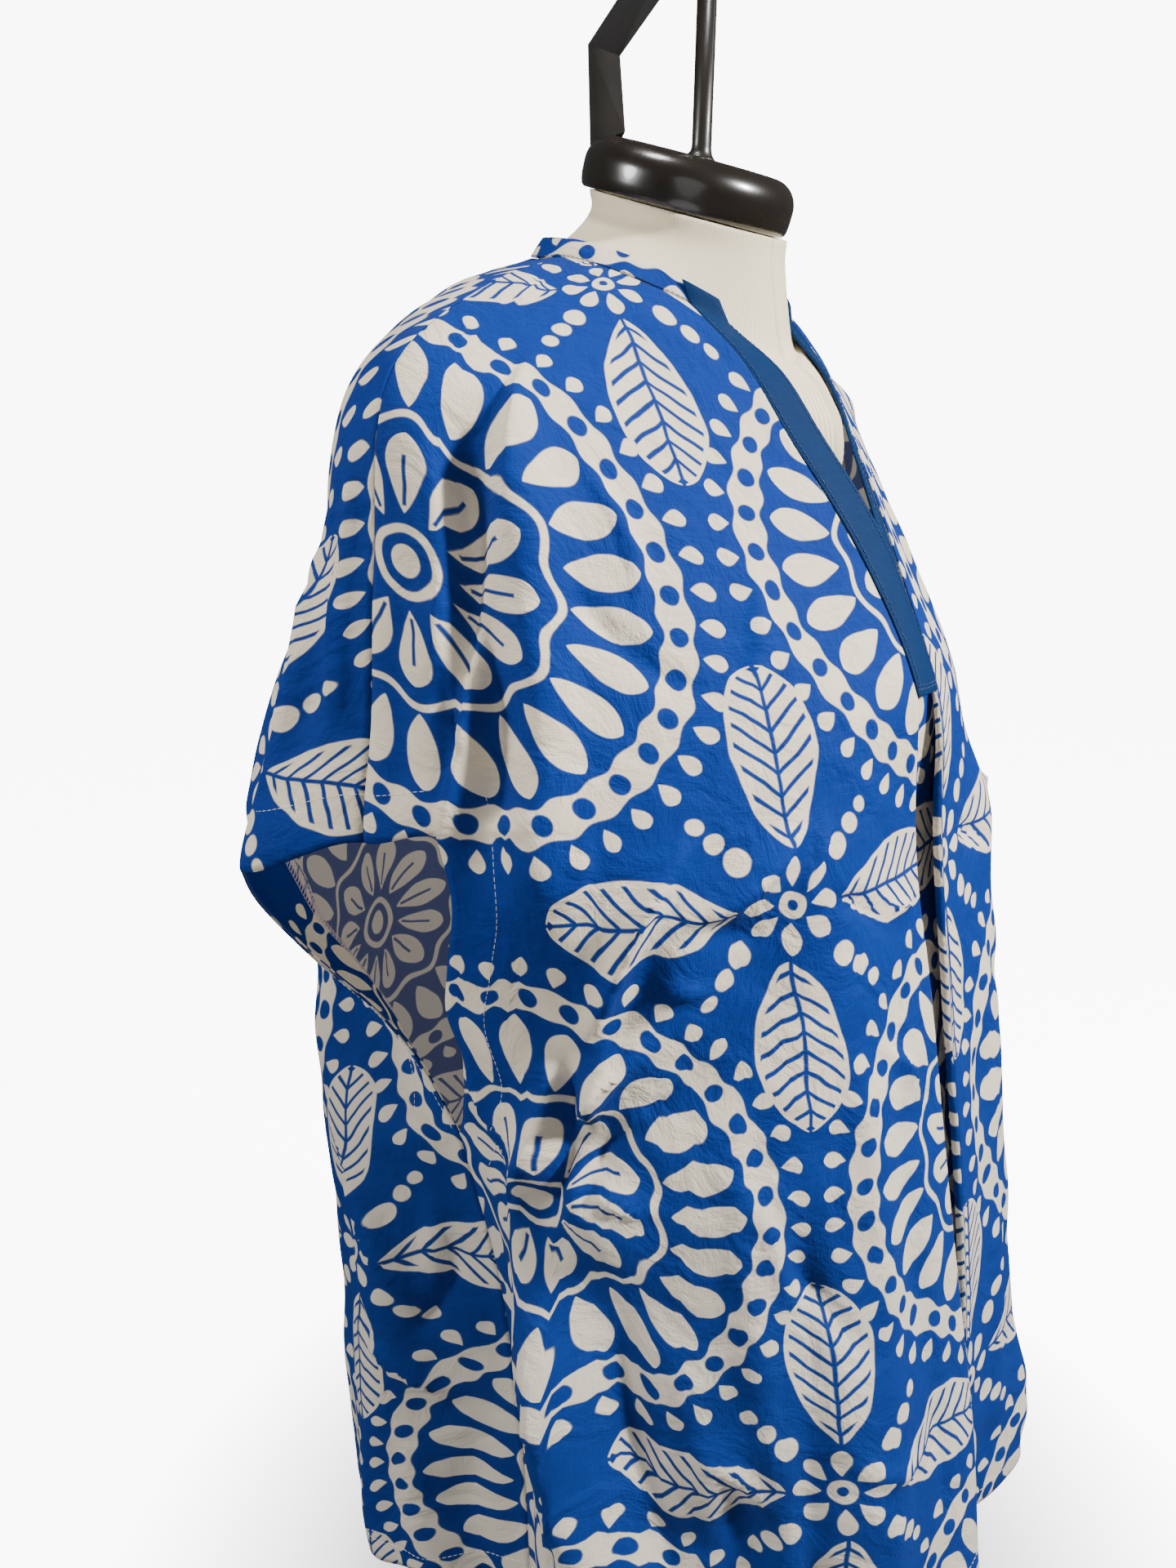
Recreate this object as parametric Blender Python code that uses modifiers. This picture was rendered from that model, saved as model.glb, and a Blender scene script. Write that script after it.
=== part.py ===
# V-neck top with cut-in-one sleeves, on a limbless dress form. Metres, +Z up, front facing -Y.
# Tables are in millimetres: x grows to the wearer's left, y to the back, and a drop is
# measured down from the rim of the neck cap.
import bpy
import bmesh
import numpy as np
from math import pi, sin, cos, radians
from mathutils import Vector

MM = 0.001

# Driving heights and walls
CAP_HEIGHT = 1000         # rim of the neck cap above the floor
AXIS_Y = 43.5             # the pole stands this far behind the middle of the whole
CLOTH_WALL = 1.2          # front and back
BAND_WALL = 1.4           # neckband and V bands, two layers of cloth
SEAM_GAP = 0.36           # between pieces at a seam
SIDE_GAP = 0.8            # between front and back along the side line, where their walls turn
REST_GAP = 0.4            # between the cloth and the form it rests on

# Named reaches: how far a row of cloth lies from the neckline, along the shoulder and side
NECKLINE = 0
SHOULDER_TIP = 130
PLEAT_TOP = 300
SLEEVE_HEM = 360          # lower end of the overarm seam
UNDERARM = 610
HEM = 890

# Rings of the cloth's middle surface. full is how square the ring is towards the side seam,
# and back_flare how far the back stands out past the side line.
RING_COLUMNS = ("reach", "side_x", "side_y", "side_drop", "front_y", "front_drop", "front_slope",
                "front_full", "back_y", "back_drop", "back_full", "back_flare")
RINGS = (
    (0, 80, 8, 42, -80, 86, 0.30, 0.55, 58, 34, 0.55, 0),
    (60, 130, 9, 57, -107, 104, 0.51, 0.28, 82, 53, 0.60, 0),
    (130, 198, 10, 97, -127, 142, 0.48, 0.28, 102, 102, 0.54, 0),
    (225, 217, 12, 190, -153, 202, 0.22, 0.38, 124, 190, 0.64, 10),
    (300, 224, 12, 264, -178, 264, 0.06, 0.44, 144, 258, 0.80, 42),
    (360, 233, 12, 323, -188, 318, 0.05, 0.50, 154, 318, 0.88, 56),
    (445, 216, 6, 400, -201, 400, 0.03, 0.56, 160, 402, 0.90, 34),
    (610, 200, 0, 540, -223, 548, 0.00, 0.62, 166, 556, 0.92, 20),
    (720, 196, -8, 680, -242, 672, -0.02, 0.64, 168, 700, 0.90, 18),
    (890, 197, -12, 844, -257, 808, -0.02, 0.64, 165, 900, 0.88, 12),
)
FRONT_HANDLE = 0.55       # how far the ring runs straight from the centre, as a share of its width
BACK_HANDLE = 0.78
CENTRE_DIP = 0.25         # share of the fall between centre and side that lies near the centre
SIDE_DIP = 0.2            # and near the side

# The side edge of each panel below SLEEVE_HEM: the open edge of the sleeve down to UNDERARM,
# then the side seam. pull_width is how far into the panel the edge draws the cloth with it.
# The sleeve's hem is the row at SLEEVE_HEM between this edge and the overarm seam.
SIDE_COLUMNS = ("reach", "x", "y", "drop", "pull_width")
SLEEVE_EDGES = {
    "front": (
        (360, 224, -30, 313, 80),
        (395, 219, -33, 346, 90),
        (440, 214, -24, 386, 100),
        (470, 210, -17, 412, 100),
        (515, 205, -23, 448, 100),
        (560, 196, -14, 480, 90),
    ),
    "back": (
        (360, 258, 84, 347, 90),
        (385, 252, 82, 364, 110),
        (425, 235, 68, 394, 120),
        (465, 214, 53, 422, 120),
        (515, 194, 36, 456, 110),
        (565, 187, 14, 490, 90),
    ),
}
SIDE_SEAM = (
    (610, 188, -2, 506, 70),
    (660, 176, -14, 586, 60),
    (740, 167, -22, 690, 55),
    (890, 164, -28, 844, 60),
)

# Largest folds of the front and back. across is the share of the way from centre to side seam,
# 0 to 1, on the wearer's right (side -1) or left (side 1); height is + for a ridge.
FOLD_COLUMNS = ("panel", "side", "across_top", "reach_top", "across_foot", "reach_foot",
                "width", "height")
FOLDS = (
    ("front", -1, 0.81, 130, 0.81, 400, 14, -15),
    ("front", -1, 0.74, 130, 0.73, 430, 18, 8),
    ("front", -1, 0.86, 520, 0.62, 640, 24, 10),
    ("front", -1, 0.80, 600, 0.68, 900, 24, 18),
    ("front", -1, 0.52, 700, 0.50, 900, 30, -9),
    ("front", -1, 0.30, 620, 0.30, 900, 26, 7),
    ("front", -1, 0.30, 380, 0.62, 560, 26, -6),
    ("front", 1, 0.80, 130, 0.82, 390, 15, -13),
    ("front", 1, 0.73, 150, 0.72, 430, 18, 7),
    ("front", 1, 0.84, 530, 0.60, 660, 24, 8),
    ("front", 1, 0.70, 680, 0.64, 900, 22, 11),
    ("front", 1, 0.48, 690, 0.46, 900, 30, -9),
    ("front", 1, 0.30, 330, 0.30, 900, 32, 9),
    ("front", 1, 0.32, 740, 0.32, 900, 34, 8),
    ("front", 1, 0.34, 400, 0.60, 570, 26, -5),
    ("back", -1, 0.74, 180, 0.72, 470, 20, -7),
    ("back", -1, 0.80, 620, 0.74, 900, 24, 9),
    ("back", -1, 0.52, 420, 0.46, 900, 28, -9),
    ("back", -1, 0.24, 300, 0.22, 900, 26, 8),
    ("back", 1, 0.73, 180, 0.74, 460, 20, -7),
    ("back", 1, 0.79, 600, 0.72, 900, 24, 9),
    ("back", 1, 0.48, 440, 0.44, 900, 28, -9),
    ("back", 1, 0.20, 320, 0.26, 900, 26, 7),
)
FOLD_FADE = 70            # length over which a fold dies out at its ends
SEAM_FADE = 26            # folds die out this far from the side line
PULL_FADE = 70            # the sleeve's edge draws the cloth above its hem over this length
NECK_SHARE = 0.3          # how much of the sleeve's width is already there at the neckline

# The V: half-width of the cut edge of the front, from the neckline to the placket's foot
V_COLUMNS = ("reach", "half_width")
V_EDGE = ((0, 52), (45, 46), (105, 39), (165, 29), (213, 21), (260, 15), (300, 13))
BAND_WIDTH = 24
BAND_RISE = 13            # how far the bands run up past the neckline, to the neckband's top
BAND_CLEAR = 1.6          # from the end of the bands to the top of the pleat
BAND_EDGE = 0.29          # from the front's cut edge to the edge of the V band
NECKBAND_HEIGHT = 13
NECKBAND_LEAN = 0.12      # run towards the neck for each unit of its height
NECKBAND_END = 1.5        # from each end of the neckband to the edge of the V band
NECK_MIDDLE_Y = 4
BAND_STEP = 1.2           # half of the distance between the crossed bands' middle surfaces
CROSSING_TOP = 90        # reach at which the bands start to part, one over the other
CROSSING_LENGTH = 75

# Inverted box pleat below the placket's foot: how far each fold edge is from the centre, how far
# it stands forward, and how deep the turned-back and the crossing cloth lie behind it
PLEAT_COLUMNS = ("reach", "right_gap", "left_gap", "right_lip", "left_lip", "middle", "under")
PLEAT = (
    (300, 13, 13, 0, 0, 2.4, 4.8),
    (330, 13, 13, -4, 0, 3.5, 9),
    (380, 11, 14, -10, -4, 5, 13),
    (480, 7, 12, -9, -5, 5, 12),
    (650, 5, 9, -5, -4, 5, 11),
    (760, 5, 8, 0, -10, 5, 11),
    (890, 5, 8, 3, -22, 5, 12),
)
PLEAT_DEPTH = 42          # how far each side is folded under
LIP_SPREAD = 45           # width over which the fold's lip stands forward

# Mesh density
ROW_STEP = 27
FRONT_COLUMNS_PER_SIDE = 17
BACK_COLUMNS_PER_SIDE = 13
NECKBAND_COLUMNS = 41
NECKBAND_ROWS = 3
BAND_COLUMNS = 6
SLEEVE_COLUMNS = 4        # between the line of the sleeve's open edge and the overarm seam
EDGE_COLUMN = 2.5         # the last column lies this far from the side line

# Dress form sections below the shoulder: half width, centre, front and back, drop
FORM_COLUMNS = ("drop", "side_x", "front_y", "back_y")
FORM_BODY = (
    (200, 168, -104, 96),
    (300, 152, -118, 100),
    (400, 134, -112, 94),
    (480, 126, -102, 88),
    (580, 140, -106, 102),
    (680, 148, -110, 112),
    (740, 144, -106, 108),
)
FORM_BOTTOM = 740
FORM_REACHES = (0, 26, 52, 78, 104)     # where the cloth rests on the form
TIP_INSET = 8             # the form falls away from the cloth at the shoulder's tip
FORM_DROPS = (200, 240, 300, 350, 400, 440, 480, 530, 580, 630, 680, 712, FORM_BOTTOM)
NECK_LENGTH = 16          # from under the cap to where the neck starts to widen
FORM_SEGMENTS = 48
NECK_RADIUS = 55
CAP_RADIUS = 59
CAP_TOP = 14              # height of the cap above its rim
CAP_FOOT = -13
CAP_ROUND = 14
CAP_TILT = 17             # degrees, down to the front
CAP_CENTRE_Y = -17

# Handle on the cap, pole and base
HANDLE_X = -16
BAR_Y = 27                # foot of the square bar, at the back of the cap
BAR_SIDE = 17
KNEE_HEIGHT = 70
ROD_Y = -35               # foot of the round rod, at the front of the cap
ROD_RADIUS = 5.2
HANDLE_TOP = 128
KNEE_LEAN = 3             # the bar leans back this far from its foot to its knee
ROD_LEAN = 1.5            # the rod leans forward this far from its foot to its top
POLE_RADIUS = 14
BASE_RADIUS = 150
BASE_HEIGHT = 14
FLANGE_RADIUS = 28        # plate at the pole's top, under the form
FLANGE_HEIGHT = 5
EDGE_CUT = 2
TURNED_STEPS = 48

COLOURS = {
    "print_blue": ((0.018, 0.105, 0.47, 1), 0.62, 0.0),
    "band_blue": ((0.012, 0.09, 0.28, 1), 0.6, 0.0),
    "form_cream": ((0.76, 0.68, 0.56, 1), 0.85, 0.0),
    "dark_metal": ((0.026, 0.022, 0.018, 1), 0.3, 0.6),
    "cap_gloss": ((0.026, 0.022, 0.018, 1), 0.22, 0.0),
}


# Small helpers

def column_curve(columns, rows, name):
    """Smooth curve through one column of a table, against its first column."""
    knots = np.array([row[0] for row in rows], float)
    values = np.array([row[columns.index(name)] for row in rows], float)
    slopes = np.gradient(values, knots)
    slopes[0] = (values[1] - values[0]) / (knots[1] - knots[0])
    slopes[-1] = (values[-1] - values[-2]) / (knots[-1] - knots[-2])

    def value(t):
        t = min(max(t, knots[0]), knots[-1])
        i = min(int(np.searchsorted(knots, t, side="right")) - 1, len(knots) - 2)
        span = knots[i + 1] - knots[i]
        s = (t - knots[i]) / span
        return ((1 + 2 * s) * (1 - s) ** 2 * values[i] + s * (1 - s) ** 2 * span * slopes[i]
                + s * s * (3 - 2 * s) * values[i + 1] + s * s * (s - 1) * span * slopes[i + 1])

    return value


def table_curves(columns, rows):
    return {name: column_curve(columns, rows, name) for name in columns[1:]}


def smoothstep(x):
    x = np.clip(x, 0, 1)
    return x * x * (3 - 2 * x)


ring_curves = table_curves(RING_COLUMNS, RINGS)
seam_curves = table_curves(SIDE_COLUMNS, SIDE_SEAM)
sleeve_edge_curves = {panel: table_curves(SIDE_COLUMNS, edge + SIDE_SEAM[:1])
                      for panel, edge in SLEEVE_EDGES.items()}
v_curve = column_curve(V_COLUMNS, V_EDGE, "half_width")
pleat_curves = table_curves(PLEAT_COLUMNS, PLEAT)
form_curves = table_curves(FORM_COLUMNS, FORM_BODY)


# The cloth's middle surface

def ring(panel, reach, inset=0.0):
    """Dense quarter ring on the positive side, from centre to side line, with its arc length."""
    r = {name: curve(reach) for name, curve in ring_curves.items()}
    side = np.array([r["side_x"] - inset, r["side_y"], -r["side_drop"] - inset])
    end_y = r[panel + "_y"] + (inset if panel == "front" else -inset)
    end = np.array([0, end_y, -r[panel + "_drop"] - inset])
    slope = r["front_slope"] if panel == "front" else 0
    handle = (FRONT_HANDLE if panel == "front" else BACK_HANDLE) * side[0]
    full = r[panel + "_full"]
    near_end = end + [handle, slope * handle, CENTRE_DIP * (side[2] - end[2])]
    flare = r["back_flare"] if panel == "back" else 0
    near_side = side + [flare, full * (end[1] - side[1]), SIDE_DIP * (end[2] - side[2])]
    s = np.linspace(0, 1, 97)[:, None]
    points = ((1 - s) ** 3 * end + 3 * s * (1 - s) ** 2 * near_end
              + 3 * s * s * (1 - s) * near_side + s ** 3 * side)
    length = np.concatenate([[0], np.cumsum(np.linalg.norm(np.diff(points, axis=0), axis=1))])
    return points, length


def side_line(panel, reach, name):
    """One value of the sleeve's open edge, or of the side seam below it."""
    curves = sleeve_edge_curves[panel] if reach < UNDERARM else seam_curves
    return curves[name](reach)


def edge_length(panel, reach):
    """Arc length from the centre to the column that becomes the panel's edge below the sleeve."""
    points, length = ring(panel, reach)
    if reach >= UNDERARM:
        return length[-1]
    if reach < SLEEVE_HEM:
        corner = ring(panel, SLEEVE_HEM)[1][-1] - edge_length(panel, SLEEVE_HEM)
        return length[-1] - corner * (NECK_SHARE + (1 - NECK_SHARE) * smoothstep(reach / SLEEVE_HEM))
    sign = 1 if panel == "back" else -1
    return np.interp(sign * side_line(panel, reach, "y"), sign * points[::-1, 1], length[::-1])


def base_row(panel, side, reach, across):
    """Points of one row of cloth; across runs from 0 at the centre to 1 at the side line."""
    points, length = ring(panel, reach)
    total = length[-1]
    where = np.asarray(across) * total
    row = np.stack([np.interp(where, length, points[:, k]) for k in range(3)], axis=-1)
    low = max(reach, SLEEVE_HEM)
    low_points, low_length = ring(panel, low)
    corner = [np.interp(edge_length(panel, low), low_length, low_points[:, k]) for k in range(3)]
    target = [side_line(panel, low, "x"), side_line(panel, low, "y"), -side_line(panel, low, "drop")]
    pull = np.array(target) - corner
    pull *= smoothstep(1 - (SLEEVE_HEM - reach) / PULL_FADE)
    edge = edge_length(panel, reach)
    inside = smoothstep(1 - (edge - where) / side_line(panel, low, "pull_width"))
    outside = smoothstep((total - where) / max(total - edge, 0.01))
    row = row + np.where(where > edge, outside, inside)[:, None] * pull
    row[:, 0] *= side
    return row, total


def fold_height(panel, side, reach, across, total):
    """Sum of the folds at points of one row, in millimetres along the normal."""
    where = across * total
    height = np.zeros_like(where)
    for name, fold_side, across_top, reach_top, across_foot, reach_foot, width, size in FOLDS:
        if name != panel or fold_side != side:
            continue
        top = np.array([across_top * total, reach_top])
        foot = np.array([across_foot * total, reach_foot])
        along = foot - top
        span = np.linalg.norm(along)
        along = along / span
        offset = np.stack([where, np.full_like(where, reach)], axis=-1) - top
        run = offset @ along
        away = offset @ np.array([along[1], -along[0]])
        fade = smoothstep(run / FOLD_FADE) * smoothstep((span - run) / FOLD_FADE + (reach_foot >= HEM))
        height += size * fade * np.exp(-(away / width) ** 2)
    return height * smoothstep((total - where) / SEAM_FADE)


def grid_normals(grid):
    """Unit normals of a grid of points, pointing out of the garment."""
    down = np.gradient(grid, axis=0)
    across = np.gradient(grid, axis=1)
    normal = np.cross(down, across)
    normal /= np.linalg.norm(normal, axis=-1, keepdims=True)
    centre = np.array([0, -10, 0])
    outward = (grid - centre)[..., :2]
    flip = np.sum(normal[..., :2] * outward, axis=-1).mean() < 0
    return -normal if flip else normal


def cloth_rows(marks, step=ROW_STEP):
    """Reaches of the rows of cloth, through every marked reach."""
    rows = [marks[0]]
    for start, stop in zip(marks, marks[1:]):
        count = max(1, round((stop - start) / step))
        rows += list(np.linspace(start, stop, count + 1)[1:])
    return rows


ROWS = cloth_rows((NECKLINE, SHOULDER_TIP, PLEAT_TOP, SLEEVE_HEM, UNDERARM, HEM))
SLEEVE_ROWS = [reach for reach in ROWS if reach <= SLEEVE_HEM]


def panel_grid(panel, side, rows, inner, columns, sleeve_columns=0):
    """Grid of points in rows from the inner edge, a share of the ring, to the panel's edge, and
    then by sleeve_columns on to the side line."""
    grid, heights = [], []
    for reach in rows:
        total = ring(panel, reach)[1][-1]
        start = inner(reach, total)
        edge = edge_length(panel, reach) / total
        end = 1 - 0.5 * SIDE_GAP / total
        stop = min(edge, end)
        across = start + (stop - EDGE_COLUMN / total - start) * np.linspace(0, 1, columns)
        across = np.append(across, stop)
        if sleeve_columns:
            beyond = edge + (end - EDGE_COLUMN / total - edge) * np.linspace(0, 1, sleeve_columns)
            across = np.concatenate([across, beyond[1:], [end]])
        row, total = base_row(panel, side, reach, across)
        grid.append(row)
        heights.append(fold_height(panel, side, reach, across, total))
    grid = np.array(grid)
    return grid + grid_normals(grid) * np.array(heights)[..., None]


def half_panel(panel, side, inner, columns):
    """Body of one half of a panel in all rows, and its sleeve in the rows above the sleeve's hem."""
    body = panel_grid(panel, side, ROWS, inner, columns)
    top = panel_grid(panel, side, SLEEVE_ROWS, inner, columns, SLEEVE_COLUMNS)
    body[:len(SLEEVE_ROWS)] = top[:, :columns + 1]
    return body, top[:, columns + 1:]


def add_sleeve(sleeve, edge_first, row_length, flip, vertices, faces):
    """Cloth from the body's edge column on to the side line."""
    beyond = len(vertices)
    vertices += list(sleeve.reshape(-1, 3))
    faces += grid_faces(len(sleeve), SLEEVE_COLUMNS, beyond, flip)
    for i in range(len(sleeve) - 1):
        edge, next_column = edge_first + i * row_length, beyond + i * SLEEVE_COLUMNS
        quad = (edge, next_column, next_column + SLEEVE_COLUMNS, edge + row_length)
        faces.append(quad[::-1] if flip else quad)


def share_at_width(panel, reach, half_width):
    """Share of the quarter ring at which it has this half-width."""
    points, length = ring(panel, reach)
    return np.interp(half_width, points[:, 0], length) / length[-1]


# Making objects

def material(name):
    colour, roughness, metallic = COLOURS[name]
    made = bpy.data.materials.get(name) or bpy.data.materials.new(name)
    made.use_nodes = True
    shader = made.node_tree.nodes["Principled BSDF"]
    shader.inputs["Base Color"].default_value = colour
    shader.inputs["Roughness"].default_value = roughness
    shader.inputs["Metallic"].default_value = metallic
    made.diffuse_color = colour
    return made


def to_world(point):
    """Millimetres from the pole's line and the cap's rim to metres from the middle of the whole."""
    return Vector((point[0] * MM, (point[1] + AXIS_Y) * MM, (CAP_HEIGHT + point[2]) * MM))


def add_object(name, mesh, finish, collection):
    made = bpy.data.objects.new(name, mesh)
    collection.objects.link(made)
    mesh.materials.append(material(finish))
    return made


def sheet_object(name, vertices, faces, wall, finish, collection):
    """Cloth of even wall from an open middle surface."""
    mesh = bpy.data.meshes.new(name)
    mesh.from_pydata([to_world(v) for v in vertices], [], faces)
    mesh.update()
    made = add_object(name, mesh, finish, collection)
    solid = made.modifiers.new("wall", "SOLIDIFY")
    solid.thickness = wall * MM
    solid.offset = 0
    mesh.shade_smooth()
    return made


def grid_faces(rows, columns, first=0, flip=False):
    faces = []
    for i in range(rows - 1):
        for j in range(columns - 1):
            a = first + i * columns + j
            quad = (a, a + 1, a + 1 + columns, a + columns)
            faces.append(quad[::-1] if flip else quad)
    return faces


# Front, with its pleat

def bend(centre_across, centre_depth, radius, start, stop, steps=3):
    """Half-circle of a fold seen from above, as (across, depth) pairs."""
    angles = np.linspace(start, stop, steps + 1)[1:-1]
    return [(centre_across + radius * cos(a), centre_depth + radius * sin(a)) for a in angles]


def pleat_profile(reach, gap):
    """One side of the pleat from its fold edge towards the centre: (distance from centre, depth)."""
    middle, under = pleat_curves["middle"](reach), pleat_curves["under"](reach)
    fold_radius = middle / 2
    back_radius = (under - middle) / 2
    far = gap + PLEAT_DEPTH
    profile = [(2 * gap - x, depth) for x, depth in
               bend(gap, fold_radius, fold_radius, 1.5 * pi, 2.5 * pi)]
    profile += [(gap + PLEAT_DEPTH * share, middle) for share in (0, 0.35, 0.7, 1)]
    profile += bend(far, middle + back_radius, back_radius, -0.5 * pi, 0.5 * pi)
    profile += [(gap + PLEAT_DEPTH * share, under) for share in (1, 0.7, 0.35, 0)]
    return profile


def pleat_side(side, reach, row):
    """Points of one half of the pleat, each behind the front's own row at its distance."""
    gap = pleat_curves["right_gap" if side < 0 else "left_gap"](reach)
    width = side * row[:, 0]
    points = []
    for distance, depth in pleat_profile(reach, gap):
        on_row = max(distance, width[0])
        y = np.interp(on_row, width, row[:, 1])
        z = np.interp(on_row, width, row[:, 2])
        points.append(np.array([side * distance, y + depth, z]))
    return points


def build_front(collection):
    columns = FRONT_COLUMNS_PER_SIDE + 1
    top_count = sum(reach < PLEAT_TOP for reach in ROWS)
    vertices, faces, grids, first = [], [], {}, {}
    for side, name in ((-1, "right"), (1, "left")):
        def inner(reach, total):
            if reach < PLEAT_TOP:
                return share_at_width("front", reach, v_curve(reach)) + SEAM_GAP / total
            return share_at_width("front", reach, pleat_curves[name + "_gap"](reach))
        grid, sleeve = half_panel("front", side, inner, FRONT_COLUMNS_PER_SIDE)
        normals = grid_normals(grid)
        for i in range(top_count, len(ROWS)):
            lip = pleat_curves[name + "_lip"](ROWS[i])
            away = np.linalg.norm(grid[i] - grid[i][0], axis=1)
            grid[i] += normals[i] * (lip * np.exp(-(away / LIP_SPREAD) ** 2))[:, None]
        first[side] = len(vertices)
        grids[side] = grid
        vertices += list(grid.reshape(-1, 3))
        faces += grid_faces(len(ROWS), columns, first[side], flip=side > 0)
        add_sleeve(sleeve, first[side] + columns - 1, columns, side > 0, vertices, faces)
    # The pleat: turned back under each fold edge, then across behind the gap
    strips = []
    for i in range(top_count, len(ROWS)):
        right = pleat_side(-1, ROWS[i], grids[-1][i])
        left = pleat_side(1, ROWS[i], grids[1][i])
        strips.append(right + [0.5 * (right[-1] + left[-1])] + left[::-1])
    width = len(strips[0])
    start = len(vertices)
    for strip in strips:
        vertices += strip
    faces += grid_faces(len(strips), width, start, flip=True)
    for i in range(len(strips) - 1):
        right = first[-1] + (top_count + i) * columns
        left = first[1] + (top_count + i) * columns
        row = start + i * width
        faces.append((right, right + columns, row + width, row))
        faces.append((row + width - 1, row + 2 * width - 1, left + columns, left))
    return sheet_object("front", vertices, faces, CLOTH_WALL, "print_blue", collection)


def build_back(collection):
    right, right_sleeve = half_panel("back", -1, lambda reach, total: 0, BACK_COLUMNS_PER_SIDE)
    left, left_sleeve = half_panel("back", 1, lambda reach, total: 0, BACK_COLUMNS_PER_SIDE)
    grid = np.concatenate([right[:, ::-1], left[:, 1:]], axis=1)
    width = grid.shape[1]
    grid[:, width // 2] = 0.5 * (right[:, 0] + left[:, 0])
    vertices = list(grid.reshape(-1, 3))
    faces = grid_faces(len(ROWS), width, flip=True)
    add_sleeve(right_sleeve, 0, width, False, vertices, faces)
    add_sleeve(left_sleeve, width - 1, width, True, vertices, faces)
    return sheet_object("back", vertices, faces, CLOTH_WALL, "print_blue", collection)


# Neckband and V bands

def ring_point(points, length, share):
    return np.array([np.interp(share * length[-1], length, points[:, k]) for k in range(3)])


def neckline_path():
    """The neckline from the right V band round the back to the left one, with its run."""
    half = []
    for panel in ("front", "back"):
        points, length = ring(panel, NECKLINE)
        start = share_at_width("front", NECKLINE, v_curve(NECKLINE)) if panel == "front" else 0
        shares = np.linspace(start, 1, 25) if panel == "front" else np.linspace(1, start, 25)[1:]
        half += [ring_point(points, length, share) for share in shares]
    left = np.array(half)
    right = left * [-1, 1, 1]
    path = np.concatenate([right, left[::-1][1:]])
    run = np.concatenate([[0], np.cumsum(np.linalg.norm(np.diff(path, axis=0), axis=1))])
    return path, run


def build_neckband(collection):
    path, run = neckline_path()
    foot = CLOTH_WALL / 2 + 2 * SEAM_GAP
    heights = np.linspace(NECKBAND_HEIGHT, foot, NECKBAND_ROWS)
    vertices = []
    for height in heights:
        for where in np.linspace(NECKBAND_END, run[-1] - NECKBAND_END, NECKBAND_COLUMNS):
            point = np.array([np.interp(where, run, path[:, k]) for k in range(3)])
            inward = np.array([-point[0], NECK_MIDDLE_Y - point[1], 0])
            inward /= np.linalg.norm(inward)
            vertices.append(point + height * (inward * NECKBAND_LEAN + np.array([0, 0, 1])))
    faces = grid_faces(NECKBAND_ROWS, NECKBAND_COLUMNS, flip=True)
    return sheet_object("neckband", vertices, faces, BAND_WALL, "print_blue", collection)


def band_row(side, reach, fractions):
    """Points across a V band: from the front's cut edge towards and past the centre line."""
    points, length = ring("front", reach)
    start = share_at_width("front", reach, v_curve(reach)) * length[-1]
    row = []
    for fraction in fractions:
        where = start - BAND_EDGE - fraction * BAND_WIDTH
        point = ring_point(points, length, abs(where) / length[-1])
        point[0] *= side if where > 0 else -side
        row.append(point)
    return np.array(row)


def build_v_band(name, side, step, collection):
    reaches = [reach for reach in ROWS if reach < PLEAT_TOP] + [PLEAT_TOP - BAND_CLEAR]
    fractions = np.linspace(0, 1, BAND_COLUMNS)
    grid = np.array([band_row(side, reach, fractions) for reach in reaches])
    top = grid[0] + BAND_RISE * np.array([0, NECKBAND_LEAN, 1])
    grid = np.concatenate([[top], grid])
    lift = step * smoothstep((np.array([NECKLINE] + reaches) - CROSSING_TOP) / CROSSING_LENGTH)
    grid = grid + grid_normals(grid) * lift[:, None, None]
    faces = grid_faces(len(grid), BAND_COLUMNS, flip=side > 0)
    return sheet_object(name, list(grid.reshape(-1, 3)), faces, BAND_WALL, "band_blue", collection)


# Dress form

def form_ring(inset, reach):
    """Closed ring of the form under the cloth's ring at this reach."""
    shares = np.linspace(0, 1, FORM_SEGMENTS // 4 + 1)
    front, back = (np.array([ring_point(*ring(panel, reach, inset), share) for share in shares])
                   for panel in ("front", "back"))
    mirror = np.array([-1, 1, 1])
    return list(np.concatenate([front[:-1], back[::-1][:-1], back[:-1] * mirror,
                                front[::-1][:-1] * mirror]))


def oval_ring(side_x, front_y, back_y, drop, tilt=0.0):
    """Closed oval ring at one height, starting at the front."""
    ring_points = []
    for k in range(FORM_SEGMENTS):
        a = 2 * pi * k / FORM_SEGMENTS
        middle = 0.5 * (front_y + back_y)
        deep = 0.5 * (back_y - front_y)
        y = middle - deep * cos(a)
        ring_points.append(np.array([side_x * sin(a), y, -drop + tilt * (y - middle)]))
    return ring_points


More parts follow.
